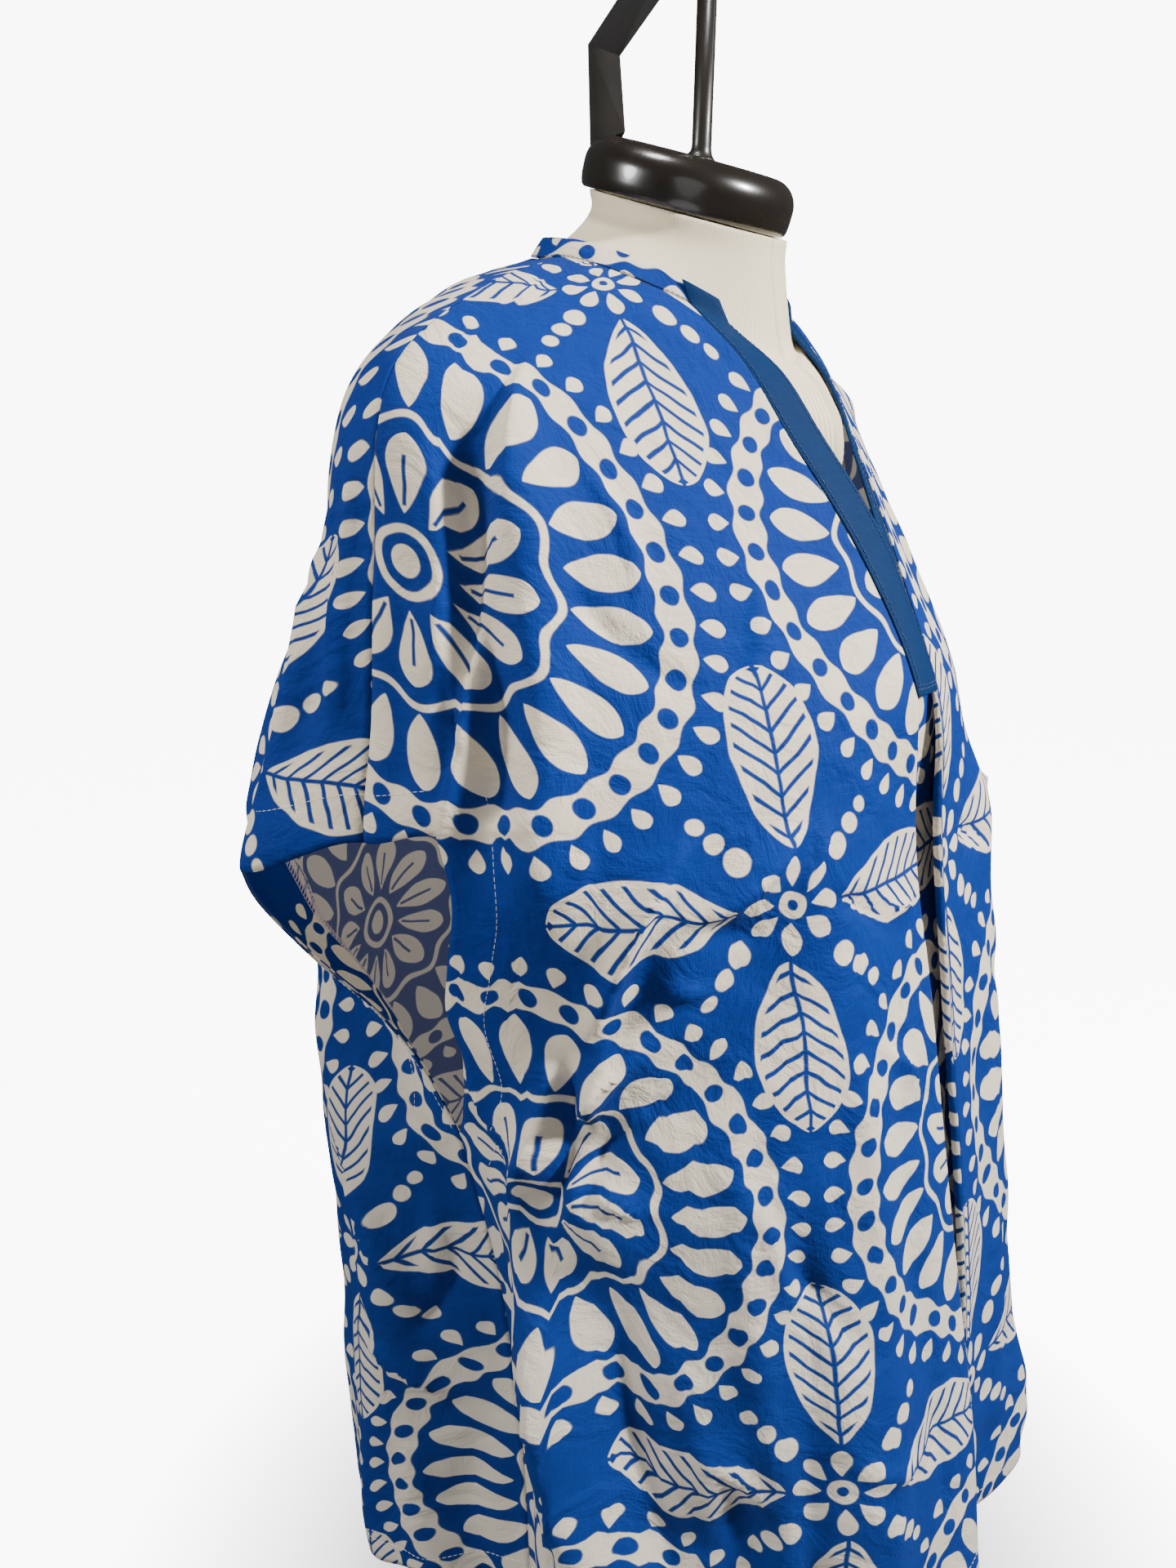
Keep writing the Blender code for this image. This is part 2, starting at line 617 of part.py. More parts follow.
def build_form(collection):
    inset = CLOTH_WALL / 2 + REST_GAP
    tilt = np.tan(radians(CAP_TILT))
    under_cap = (REST_GAP - CAP_FOOT) / cos(radians(CAP_TILT))
    front_y, back_y = CAP_CENTRE_Y - NECK_RADIUS, CAP_CENTRE_Y + NECK_RADIUS
    rings = [oval_ring(NECK_RADIUS, front_y, back_y, under_cap, tilt),
             oval_ring(NECK_RADIUS, front_y, back_y + 3, under_cap + NECK_LENGTH, tilt)]
    rings += [form_ring(inset, reach) for reach in FORM_REACHES]
    rings.append(form_ring(inset + TIP_INSET, SHOULDER_TIP))
    for drop in FORM_DROPS:
        rings.append(oval_ring(form_curves["side_x"](drop), form_curves["front_y"](drop),
                               form_curves["back_y"](drop), drop))
    vertices = [p for points in rings for p in points]
    count = FORM_SEGMENTS
    faces = []
    for i in range(len(rings) - 1):
        for k in range(count):
            a, b = i * count + k, i * count + (k + 1) % count
            faces.append((a, b, b + count, a + count))
    faces.append(tuple(range(count))[::-1])
    last = (len(rings) - 1) * count
    faces.append(tuple(last + k for k in range(count)))
    mesh = bpy.data.meshes.new("form_torso")
    mesh.from_pydata([to_world(v) for v in vertices], [], faces)
    mesh.update()
    fix = bmesh.new()
    fix.from_mesh(mesh)
    bmesh.ops.recalc_face_normals(fix, faces=fix.faces)
    fix.to_mesh(mesh)
    fix.free()
    made = add_object("form_torso", mesh, "form_cream", collection)
    mesh.shade_smooth()
    mesh.set_sharp_from_angle(angle=radians(60))
    return made


def turned(name, profile, finish, collection):
    """Turned piece from (radius, height) pairs in millimetres, top to bottom."""
    mesh = bpy.data.meshes.new(name)
    points = [(r * MM, 0, h * MM) for r, h in profile]
    mesh.from_pydata(points, [(k, k + 1) for k in range(len(points) - 1)], [])
    made = add_object(name, mesh, finish, collection)
    made.location = to_world((0, 0, -CAP_HEIGHT))
    screw = made.modifiers.new("turn", "SCREW")
    screw.steps = TURNED_STEPS
    screw.render_steps = TURNED_STEPS
    screw.use_merge_vertices = True
    screw.merge_threshold = 0.00001
    return made


def build_cap(collection):
    profile = [(0, CAP_TOP)]
    for k in range(7):
        a = pi / 2 * (1 - k / 6)
        profile.append((CAP_RADIUS - CAP_ROUND * (1 - cos(a)), CAP_TOP - CAP_ROUND * (1 - sin(a))))
    profile += [(CAP_RADIUS, CAP_FOOT + EDGE_CUT), (CAP_RADIUS - EDGE_CUT, CAP_FOOT), (0, CAP_FOOT)]
    cap = turned("neck_cap", profile, "cap_gloss", collection)
    cap.location = to_world((0, CAP_CENTRE_Y, 0))
    cap.rotation_euler = (radians(CAP_TILT), 0, 0)
    return cap


def cap_top_height(y):
    """Height of the cap's top over the middle line of the form."""
    tilt = radians(CAP_TILT)
    across = abs(y - CAP_CENTRE_Y + CAP_TOP * sin(tilt)) / cos(tilt)
    fallen = max(across - (CAP_RADIUS - CAP_ROUND), 0)
    drop = CAP_ROUND - (CAP_ROUND ** 2 - fallen ** 2) ** 0.5
    return CAP_TOP / cos(tilt) + (y - CAP_CENTRE_Y) * np.tan(tilt) - drop * cos(tilt)


def build_handle(collection):
    half_bar = BAR_SIDE / 2 ** 0.5          # the square bar stands on edge
    bar_seat = max(cap_top_height(BAR_Y + d) for d in (-half_bar, 0, half_bar))
    rod_seat = max(cap_top_height(ROD_Y + d) for d in (-ROD_RADIUS, 0, ROD_RADIUS))
    foot = (HANDLE_X, BAR_Y, bar_seat + REST_GAP)
    knee = (HANDLE_X, BAR_Y + KNEE_LEAN, KNEE_HEIGHT)
    peak = (HANDLE_X, ROD_Y - ROD_LEAN, HANDLE_TOP)
    add_tube("handle_bar", (foot, knee, peak), half_bar, 0, collection)
    rise = (peak[2] - knee[2]) / (knee[1] - peak[1])
    rod_top = HANDLE_TOP - half_bar * (1 + rise ** 2) ** 0.5 - rise * ROD_RADIUS - REST_GAP
    add_tube("handle_rod", ((HANDLE_X, ROD_Y, rod_seat + REST_GAP), (HANDLE_X, ROD_Y - ROD_LEAN, rod_top)),
             ROD_RADIUS, 2, collection)


def add_tube(name, points, radius, roundness, collection):
    """Bar or rod along straight runs; roundness 0 gives a square section."""
    curve = bpy.data.curves.new(name, "CURVE")
    curve.dimensions = "3D"
    spline = curve.splines.new("POLY")
    spline.points.add(len(points) - 1)
    for slot, point in zip(spline.points, points):
        slot.co = (*to_world(point), 1)
    curve.bevel_depth = radius * MM
    curve.bevel_resolution = roundness
    curve.use_fill_caps = True
    made = bpy.data.objects.new(name, curve)
    collection.objects.link(made)
    curve.materials.append(material("dark_metal"))
    return made


def build_stand(collection):
    top = CAP_HEIGHT - FORM_BOTTOM - REST_GAP
    foot = BASE_HEIGHT + REST_GAP
    turned("pole", ((0, top), (FLANGE_RADIUS, top), (FLANGE_RADIUS, top - FLANGE_HEIGHT),
                    (POLE_RADIUS, top - FLANGE_HEIGHT - EDGE_CUT), (POLE_RADIUS, foot), (0, foot)),
           "dark_metal", collection)
    turned("base", ((0, BASE_HEIGHT), (BASE_RADIUS - 3 * EDGE_CUT, BASE_HEIGHT),
                    (BASE_RADIUS, BASE_HEIGHT - 3 * EDGE_CUT), (BASE_RADIUS, EDGE_CUT),
                    (BASE_RADIUS - EDGE_CUT, 0), (0, 0)),
           "dark_metal", collection)


def main():
    for old in list(bpy.data.objects):
        bpy.data.objects.remove(old)
    collection = bpy.data.collections.new("v_neck_top")
    bpy.context.scene.collection.children.link(collection)
    build_front(collection)
    build_back(collection)
    build_neckband(collection)
    build_v_band("v_band_right", -1, BAND_STEP, collection)
    build_v_band("v_band_left", 1, -BAND_STEP, collection)
    build_form(collection)
    build_cap(collection)
    build_handle(collection)
    build_stand(collection)


main()
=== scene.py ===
from math import pi, sin, cos, tan, radians, hypot
import bpy
import numpy as np
from mathutils import Matrix, Vector
from mathutils.bvhtree import BVHTree


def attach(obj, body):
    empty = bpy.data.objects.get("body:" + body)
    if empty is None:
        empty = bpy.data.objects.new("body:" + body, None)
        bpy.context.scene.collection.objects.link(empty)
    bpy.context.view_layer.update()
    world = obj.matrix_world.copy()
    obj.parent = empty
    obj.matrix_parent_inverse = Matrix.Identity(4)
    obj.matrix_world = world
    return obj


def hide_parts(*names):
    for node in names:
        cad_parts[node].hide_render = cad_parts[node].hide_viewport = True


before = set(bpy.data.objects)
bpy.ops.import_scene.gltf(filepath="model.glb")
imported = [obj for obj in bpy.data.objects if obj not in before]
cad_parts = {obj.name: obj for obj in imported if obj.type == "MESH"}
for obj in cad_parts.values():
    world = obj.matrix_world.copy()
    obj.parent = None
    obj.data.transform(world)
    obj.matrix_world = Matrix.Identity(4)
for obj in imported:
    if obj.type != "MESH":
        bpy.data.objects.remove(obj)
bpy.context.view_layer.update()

# Everything is worked out in millimetres from the pole's line and the rim of the neck cap,
# as the garment was cut: "where" is the distance along the cloth from the centre line and
# "reach" the distance down the shoulder and side.
whole = {
    "capRim": 1000,        # rim of the neck cap above the floor
    "poleY": 43.5,
    "rowStep": 3.9,        # fineness of the cloth
    "columns": 80,
    "sleeveColumns": 14,
    "wall": 0.9,
}
neckline, pleatTop, sleeveHem, underarm, bodyHem = 0, 300, 360, 610, 890
bodyCount = whole["columns"] + 1          # points across one half, up to the sleeve

ringNames = ("reach", "sideX", "sideY", "sideDrop", "frontY", "frontDrop", "frontSlope", "frontFull",
             "backY", "backDrop", "backFull", "backFlare")
rings = (
    (0, 80, 8, 42, -80, 86, 0.30, 0.55, 58, 34, 0.55, 0),
    (60, 130, 9, 57, -107, 104, 0.51, 0.28, 82, 53, 0.60, 0),
    (130, 198, 10, 97, -127, 142, 0.48, 0.28, 102, 102, 0.54, 0),
    (225, 217, 12, 190, -153, 202, 0.22, 0.38, 124, 190, 0.64, 10),
    (300, 224, 12, 264, -178, 264, 0.06, 0.44, 144, 258, 0.80, 42),
    (360, 233, 12, 323, -188, 318, 0.05, 0.50, 154, 318, 0.88, 56),
    (445, 216, 6, 400, -201, 400, 0.03, 0.56, 160, 402, 0.90, 34),
    (610, 200, 0, 540, -223, 548, 0.00, 0.62, 166, 556, 0.92, 20),
    (720, 196, -8, 680, -242, 672, -0.02, 0.64, 168, 700, 0.90, 18),
    (890, 197, -12, 844, -257, 808, -0.02, 0.64, 165, 900, 0.88, 12),
)
edgeNames = ("reach", "x", "y", "drop", "pullWidth")
sleeveEdges = {
    "front": ((360, 224, -30, 313, 80), (395, 219, -33, 346, 90), (440, 214, -24, 386, 100),
              (470, 210, -17, 412, 100), (515, 205, -23, 448, 100), (560, 196, -14, 480, 90)),
    "back": ((360, 258, 84, 347, 90), (385, 252, 82, 364, 110), (425, 235, 68, 394, 120),
             (465, 214, 53, 422, 120), (515, 194, 36, 456, 110), (565, 187, 14, 490, 90)),
}
sideSeam = ((610, 188, -2, 506, 70), (660, 176, -14, 586, 60), (740, 167, -22, 690, 55),
            (890, 164, -28, 844, 60))
vEdge = ((0, 52), (45, 46), (105, 39), (165, 29), (213, 21), (260, 15), (300, 13))
pleatNames = ("reach", "rightGap", "leftGap", "rightLip", "leftLip", "middle", "under")
pleatRows = (
    (300, 13, 13, 0, 0, 2.4, 4.8), (330, 13, 13, -4, 0, 3.5, 9), (380, 11, 14, -10, -4, 5, 13),
    (480, 7, 12, -9, -5, 5, 12), (650, 5, 9, -5, -4, 5, 11), (760, 5, 8, 0, -10, 5, 11),
    (890, 5, 8, 3, -22, 5, 12),
)
pleatDepth, lipSpread = 42, 45


# Smooth curves through the tables

def columnCurve(rows, k):
    knots = np.array([row[0] for row in rows], float)
    values = np.array([row[k] for row in rows], float)
    slopes = np.gradient(values, knots)
    slopes[0] = (values[1] - values[0]) / (knots[1] - knots[0])
    slopes[-1] = (values[-1] - values[-2]) / (knots[-1] - knots[-2])

    def value(t):
        t = min(max(t, knots[0]), knots[-1])
        i = min(int(np.searchsorted(knots, t, side="right")) - 1, len(knots) - 2)
        span = knots[i + 1] - knots[i]
        s = (t - knots[i]) / span
        return ((1 + 2 * s) * (1 - s) ** 2 * values[i] + s * (1 - s) ** 2 * span * slopes[i]
                + s * s * (3 - 2 * s) * values[i + 1] + s * s * (s - 1) * span * slopes[i + 1])
    return value


def tableCurves(names, rows):
    return {name: columnCurve(rows, k) for k, name in enumerate(names) if k}


def smooth(x):
    x = np.clip(x, 0, 1)
    return x * x * (3 - 2 * x)


def runAlong(points):
    # length along a line of points, counted from its first one
    return np.concatenate([[0], np.cumsum(np.linalg.norm(np.diff(points, axis=0), axis=1))])


def pointAlong(place, run, points):
    # the point, or the row of points, at such a length
    return np.stack([np.interp(place, run, points[:, k]) for k in range(3)], axis=-1)


ringCurves = tableCurves(ringNames, rings)
seamCurves = tableCurves(edgeNames, sideSeam)
edgeCurves = {panel: tableCurves(edgeNames, edge + sideSeam[:1]) for panel, edge in sleeveEdges.items()}
vHalf = columnCurve(vEdge, 1)
pleatCurves = tableCurves(pleatNames, pleatRows)


# The cloth's middle surface

ringCache = {}


def ringAt(panel, reach, inset=0.0):
    key = (panel, round(reach, 3), inset)
    if key not in ringCache:
        r = {name: curve(reach) for name, curve in ringCurves.items()}
        side = np.array([r["sideX"] - inset, r["sideY"], -r["sideDrop"] - inset])
        end = np.array([0, r[panel + "Y"] + (inset if panel == "front" else -inset),
                        -r[panel + "Drop"] - inset])
        slope = r["frontSlope"] if panel == "front" else 0
        run = (0.55 if panel == "front" else 0.78) * side[0]
        full = r[panel + "Full"]
        flare = r["backFlare"] if panel == "back" else 0
        nearEnd = end + [run, slope * run, 0.25 * (side[2] - end[2])]
        nearSide = side + [flare, full * (end[1] - side[1]), 0.2 * (end[2] - side[2])]
        s = np.linspace(0, 1, 97)[:, None]
        points = ((1 - s) ** 3 * end + 3 * s * (1 - s) ** 2 * nearEnd
                  + 3 * s * s * (1 - s) * nearSide + s ** 3 * side)
        ringCache[key] = points, runAlong(points)
    return ringCache[key]


def sideLine(panel, reach, name):
    return (edgeCurves[panel] if reach < underarm else seamCurves)[name](reach)


def edgeLength(panel, reach):
    points, length = ringAt(panel, reach)
    if reach >= underarm:
        return length[-1]
    if reach < sleeveHem:
        corner = ringAt(panel, sleeveHem)[1][-1] - edgeLength(panel, sleeveHem)
        return length[-1] - corner * (0.3 + 0.7 * smooth(reach / sleeveHem))
    sign = 1 if panel == "back" else -1
    return np.interp(sign * sideLine(panel, reach, "y"), sign * points[::-1, 1], length[::-1])


def baseRow(panel, side, reach, where):
    points, length = ringAt(panel, reach)
    total = length[-1]
    row = pointAlong(where, length, points)
    low = max(reach, sleeveHem)
    lowPoints, lowLength = ringAt(panel, low)
    corner = pointAlong(edgeLength(panel, low), lowLength, lowPoints)
    pull = np.array([sideLine(panel, low, "x"), sideLine(panel, low, "y"),
                     -sideLine(panel, low, "drop")]) - corner
    pull *= smooth(1 - (sleeveHem - reach) / 70)
    edge = edgeLength(panel, reach)
    inside = smooth(1 - (edge - where) / sideLine(panel, low, "pullWidth"))
    outside = smooth((total - where) / max(total - edge, 0.01))
    row = row + np.where(where > edge, outside, inside)[:, None] * pull
    row[:, 0] *= side
    return row


def widthToWhere(reach, halfWidth):
    points, length = ringAt("front", reach)
    return np.interp(halfWidth, points[:, 0], length)


# Folds of the worn cloth. Each runs from the first place (share of the row, reach) to the
# second; then come its width and height in mm, + out of the garment. "soft" is a round fold,
# "ridge" one with a sharp back, and "step" cloth that lies over its neighbour with one edge.
foldDepth = {"soft": 1.4, "ridge": 3.6, "step": 2.6}
foldNames = ("shareA", "reachA", "shareB", "reachB", "width", "height", "kind")
folds = {
    ("front", -1): (
        (0.81, 130, 0.81, 400, 14, -15, "soft"),
        (0.74, 130, 0.73, 430, 18, 8, "soft"),
        (0.86, 520, 0.62, 640, 24, 10, "soft"),
        (0.80, 600, 0.68, 900, 24, 18, "soft"),
        (0.52, 700, 0.50, 900, 30, -9, "soft"),
        (0.30, 620, 0.30, 900, 26, 7, "soft"),
        (0.30, 380, 0.62, 560, 26, -6, "soft"),
        # armhole and sleeve
        (0.85, 372, 0.785, 90, 16, 5.5, "step"),
        (0.91, 150, 0.87, 290, 7, 2.4, "ridge"),
        (0.86, 262, 0.87, 345, 6, -2.2, "ridge"),
        (0.93, 210, 0.95, 350, 8, -2.0, "soft"),
        # pulls across the side of the chest
        (0.26, 350, 0.56, 398, 8, 2.8, "ridge"),
        (0.33, 402, 0.56, 402, 9, -2.6, "soft"),
        (0.46, 336, 0.74, 478, 7, 3.6, "ridge"),
        (0.52, 382, 0.75, 500, 9, -3.6, "soft"),
        (0.60, 448, 0.72, 545, 7, 3.4, "ridge"),
        (0.83, 360, 0.71, 334, 4, 2.0, "ridge"),
        (0.58, 424, 0.49, 441, 4, 1.8, "ridge"),
        (0.645, 345, 0.69, 388, 3, 1.3, "ridge"),
        (0.28, 346, 0.33, 396, 4, 1.8, "ridge"),
        (0.31, 396, 0.14, 412, 4, -1.7, "ridge"),
        (0.17, 405, 0.04, 418, 4, 1.6, "ridge"),
        # hanging cloth under the arm
        (0.77, 478, 0.84, 640, 9, 4.4, "ridge"),
        (0.70, 470, 0.80, 618, 8, -6.0, "ridge"),
        (0.66, 448, 0.745, 600, 7, 4.5, "ridge"),
        (0.74, 590, 0.56, 486, 6, -2.6, "ridge"),
        (0.72, 566, 0.60, 580, 5, 2.4, "ridge"),
        (0.70, 538, 0.58, 512, 5, 2.2, "ridge"),
        (0.90, 500, 0.86, 600, 6, 2.0, "ridge"),
        (0.73, 900, 0.845, 622, 22, 6.5, "step"),
        (0.86, 660, 0.80, 880, 8, 2.6, "ridge"),
        # long soft falls lower down
        (0.68, 620, 0.63, 900, 10, -4.0, "soft"),
        (0.50, 560, 0.36, 640, 6, 1.8, "ridge"),
        (0.44, 610, 0.24, 668, 7, -1.7, "ridge"),
        (0.58, 690, 0.44, 760, 6, 1.7, "ridge"),
        (0.36, 700, 0.16, 745, 6, 1.5, "ridge"),
        (0.50, 800, 0.30, 850, 7, -1.6, "ridge"),
        (0.66, 150, 0.52, 250, 6, 1.3, "ridge"),
        (0.70, 210, 0.44, 300, 8, -1.4, "ridge"),
        (0.30, 200, 0.48, 330, 8, 1.2, "ridge"),
        (0.22, 470, 0.08, 560, 6, 1.4, "ridge"),
        (0.47, 500, 0.43, 900, 10, 3.4, "soft"),
        (0.40, 560, 0.37, 880, 9, -2.6, "soft"),
        (0.25, 470, 0.25, 840, 11, 2.6, "soft"),
        (0.15, 430, 0.13, 820, 9, -2.0, "soft"),
        (0.58, 640, 0.55, 900, 9, 2.6, "soft"),
    ),
    ("front", 1): (
        (0.80, 130, 0.82, 390, 15, -13, "soft"),
        (0.73, 150, 0.72, 430, 18, 7, "soft"),
        (0.84, 530, 0.60, 660, 24, 8, "soft"),
        (0.70, 680, 0.64, 900, 22, 11, "soft"),
        (0.48, 690, 0.46, 900, 30, -9, "soft"),
        (0.30, 330, 0.30, 900, 32, 9, "soft"),
        (0.32, 740, 0.32, 900, 34, 8, "soft"),
        (0.34, 400, 0.60, 570, 26, -5, "soft"),
        (0.845, 368, 0.79, 95, 16, 5.0, "step"),
        (0.90, 170, 0.88, 300, 7, 2.2, "ridge"),
        (0.93, 220, 0.94, 345, 8, -2.0, "soft"),
        (0.42, 345, 0.70, 470, 7, 3.2, "ridge"),
        (0.50, 388, 0.73, 505, 9, -3.2, "soft"),
        (0.80, 352, 0.70, 340, 4, 1.8, "ridge"),
        (0.30, 372, 0.48, 402, 7, 2.2, "ridge"),
        (0.12, 392, 0.26, 410, 5, -1.8, "ridge"),
        (0.76, 480, 0.83, 630, 9, 4.0, "ridge"),
        (0.69, 474, 0.78, 612, 8, -5.0, "ridge"),
        (0.72, 580, 0.57, 490, 6, -2.4, "ridge"),
        (0.88, 505, 0.85, 610, 6, 2.0, "ridge"),
        (0.73, 900, 0.81, 640, 20, 4.5, "step"),
        (0.62, 610, 0.60, 900, 10, -3.4, "soft"),
        (0.42, 520, 0.40, 900, 10, 3.0, "soft"),
        (0.20, 450, 0.18, 860, 10, 2.4, "soft"),
    ),
    ("back", -1): (
        (0.74, 180, 0.72, 470, 20, -7, "soft"),
        (0.80, 620, 0.74, 900, 24, 9, "soft"),
        (0.52, 420, 0.46, 900, 28, -9, "soft"),
        (0.24, 300, 0.22, 900, 26, 8, "soft"),
        (0.91, 155, 0.97, 330, 6, 2.6, "ridge"),
        (0.84, 190, 0.80, 345, 7, 2.4, "ridge"),
        (0.88, 210, 0.87, 350, 7, -2.2, "soft"),
        (0.62, 250, 0.58, 520, 10, 2.8, "soft"),
        (0.68, 600, 0.93, 690, 8, 4.0, "ridge"),
        (0.64, 640, 0.90, 740, 10, -3.6, "soft"),
        (0.74, 700, 0.94, 748, 6, 2.8, "ridge"),
        (0.90, 620, 0.93, 700, 4, 1.8, "ridge"),
        (0.94, 650, 0.86, 715, 4, -1.6, "ridge"),
        (0.86, 760, 0.84, 900, 9, 3.0, "soft"),
        (0.94, 740, 0.93, 900, 9, -3.4, "soft"),
        (0.38, 480, 0.34, 880, 12, 3.2, "soft"),
        (0.10, 420, 0.08, 860, 12, -2.8, "soft"),
        (0.60, 700, 0.58, 900, 10, 3.0, "soft"),
    ),
    ("back", 1): (
        (0.73, 180, 0.74, 460, 20, -7, "soft"),
        (0.79, 600, 0.72, 900, 24, 9, "soft"),
        (0.48, 440, 0.44, 900, 28, -9, "soft"),
        (0.20, 320, 0.26, 900, 26, 7, "soft"),
        (0.90, 165, 0.96, 335, 6, 2.4, "ridge"),
        (0.83, 205, 0.80, 350, 7, 2.2, "ridge"),
        (0.60, 240, 0.57, 500, 10, 2.6, "soft"),
        (0.66, 612, 0.92, 700, 8, 3.6, "ridge"),
        (0.62, 650, 0.88, 745, 10, -3.2, "soft"),
        (0.88, 640, 0.93, 710, 4, 1.8, "ridge"),
        (0.87, 750, 0.85, 900, 9, 3.0, "soft"),
        (0.36, 500, 0.33, 890, 12, 3.0, "soft"),
        (0.12, 470, 0.12, 850, 12, -2.6, "soft"),
        (0.58, 720, 0.57, 900, 10, 2.8, "soft"),
    ),
}


def foldHeight(panel, side, reach, where, total):
    height = np.zeros_like(where)
    for row in folds[panel, side]:
        f = dict(zip(foldNames, row))
        top = np.array([f["shareA"] * total, f["reachA"]])
        foot = np.array([f["shareB"] * total, f["reachB"]])
        span = np.linalg.norm(foot - top)
        along = (foot - top) / span
        offset = np.stack([where, np.full_like(where, reach)], axis=-1) - top
        run = offset @ along
        away = offset @ np.array([along[1], -along[0]])
        away += min(6.0, 0.06 * span) * np.sin(run / span * 5.1 + f["reachA"])      # never quite straight
        fade = 70 if f["width"] > 12 else min(60, 0.42 * span)
        if f["kind"] == "soft":
            shape = np.exp(-(away / f["width"]) ** 2)
        elif f["kind"] == "ridge":
            shape = np.exp(-np.abs(away / f["width"]) ** 1.15 * 1.3)
        else:
            shape = smooth((away + 3.5) / 5) * np.exp(-np.maximum(away, 0) / f["width"])
        ends = smooth(run / fade + (f["reachA"] >= bodyHem))
        ends = ends * smooth((span - run) / fade + (f["reachB"] >= bodyHem))
        height += f["height"] * foldDepth[f["kind"]] * ends * shape
    return height * smooth((total - where) / 26)


def wave(a, b, seed):
    # small uneven crumples: a few crossing waves whose strength comes and goes
    rng = np.random.default_rng(seed)
    total = np.zeros_like(a)
    for k in range(7):
        turn, size = rng.uniform(0, pi), rng.uniform(26, 90)
        phase, bend = rng.uniform(0, 6.3), rng.uniform(0.3, 0.8)
        run = (a * cos(turn) + b * sin(turn)) / size * 2 * pi
        across = (b * cos(turn) - a * sin(turn)) / (size * 2.7) * 2 * pi
        total += np.sin(run + bend * np.sin(across + phase) + phase) * size / 90
    return total / 7


def gridNormals(grid):
    down, across = np.gradient(grid, axis=0), np.gradient(grid, axis=1)
    normal = np.cross(down, across)
    normal /= np.maximum(np.linalg.norm(normal, axis=-1, keepdims=True), 1e-9)
    outward = (grid - [0, -10, 0])[..., :2]
    return -normal if np.sum(normal[..., :2] * outward, axis=-1).mean() < 0 else normal


def marks(stops, step):
    rows = [stops[0]]
    for start, stop in zip(stops, stops[1:]):
        rows += list(np.linspace(start, stop, max(1, round((stop - start) / step)) + 1)[1:])
    return np.array(rows)


rows = marks((neckline, pleatTop, sleeveHem, underarm, bodyHem), whole["rowStep"])
sleeveRows = rows[rows <= sleeveHem]
topRows = int(np.sum(rows < pleatTop - 0.01))


def innerEdge(panel, side, reach):
    if panel == "back":
        return 0.0
    if reach < pleatTop - 0.01:
        return widthToWhere(reach, vHalf(reach)) + 0.1
    return widthToWhere(reach, pleatCurves["rightGap" if side < 0 else "leftGap"](reach))


# The back's open sleeve edge turns out, so its hem shows from the front. A range has a start
# or an end, and the length over which the turn comes or goes.
curl = {"out": 19, "from": (352, 26), "to": (604, 60), "edge": 30, "inner": (115, 75)}
crumples = {"height": 2.2, "moreBelow": 2.4, "below": (330, 200), "seeds": {"front": 3, "back": 8}}


def edgeCurl(panel, reach, inside):
    if panel == "front":
        return 0.0
    (start, startOver), (stop, stopOver), (inner, innerOver) = curl["from"], curl["to"], curl["inner"]
    along = smooth((reach - start) / startOver) * smooth((stop - reach) / stopOver)
    return -curl["out"] * along * smooth(inside / curl["edge"]) * smooth((inner - inside) / innerOver)


def sheetGrid(panel, side, reaches, sleeves):
    # the grid of points, and their distances along each row
    grid, distance, lift = [], [], []
    for reach in reaches:
        total = ringAt(panel, reach)[1][-1]
        start, edge = innerEdge(panel, side, reach), edgeLength(panel, reach)
        end = total - 0.2
        where = np.linspace(start, min(edge, end), whole["columns"] + 1)
        if sleeves:
            where = np.concatenate([where, np.linspace(edge, end, whole["sleeveColumns"] + 1)[1:]])
        grid.append(baseRow(panel, side, reach, where))
        distance.append(where)
        crumple = wave(where * side, np.full_like(where, reach), crumples["seeds"][panel])
        low, lowOver = crumples["below"]
        crumple *= crumples["height"] + crumples["moreBelow"] * smooth((reach - low) / lowOver)
        crumple *= smooth((total - where) / 18) * smooth((where - start) / 18 + (panel == "back"))
        height = foldHeight(panel, side, reach, where, total) + crumple
        lift.append(height + edgeCurl(panel, reach, edge - where))
    grid, distance = np.array(grid), np.array(distance)
    return grid + gridNormals(grid) * np.array(lift)[..., None], distance


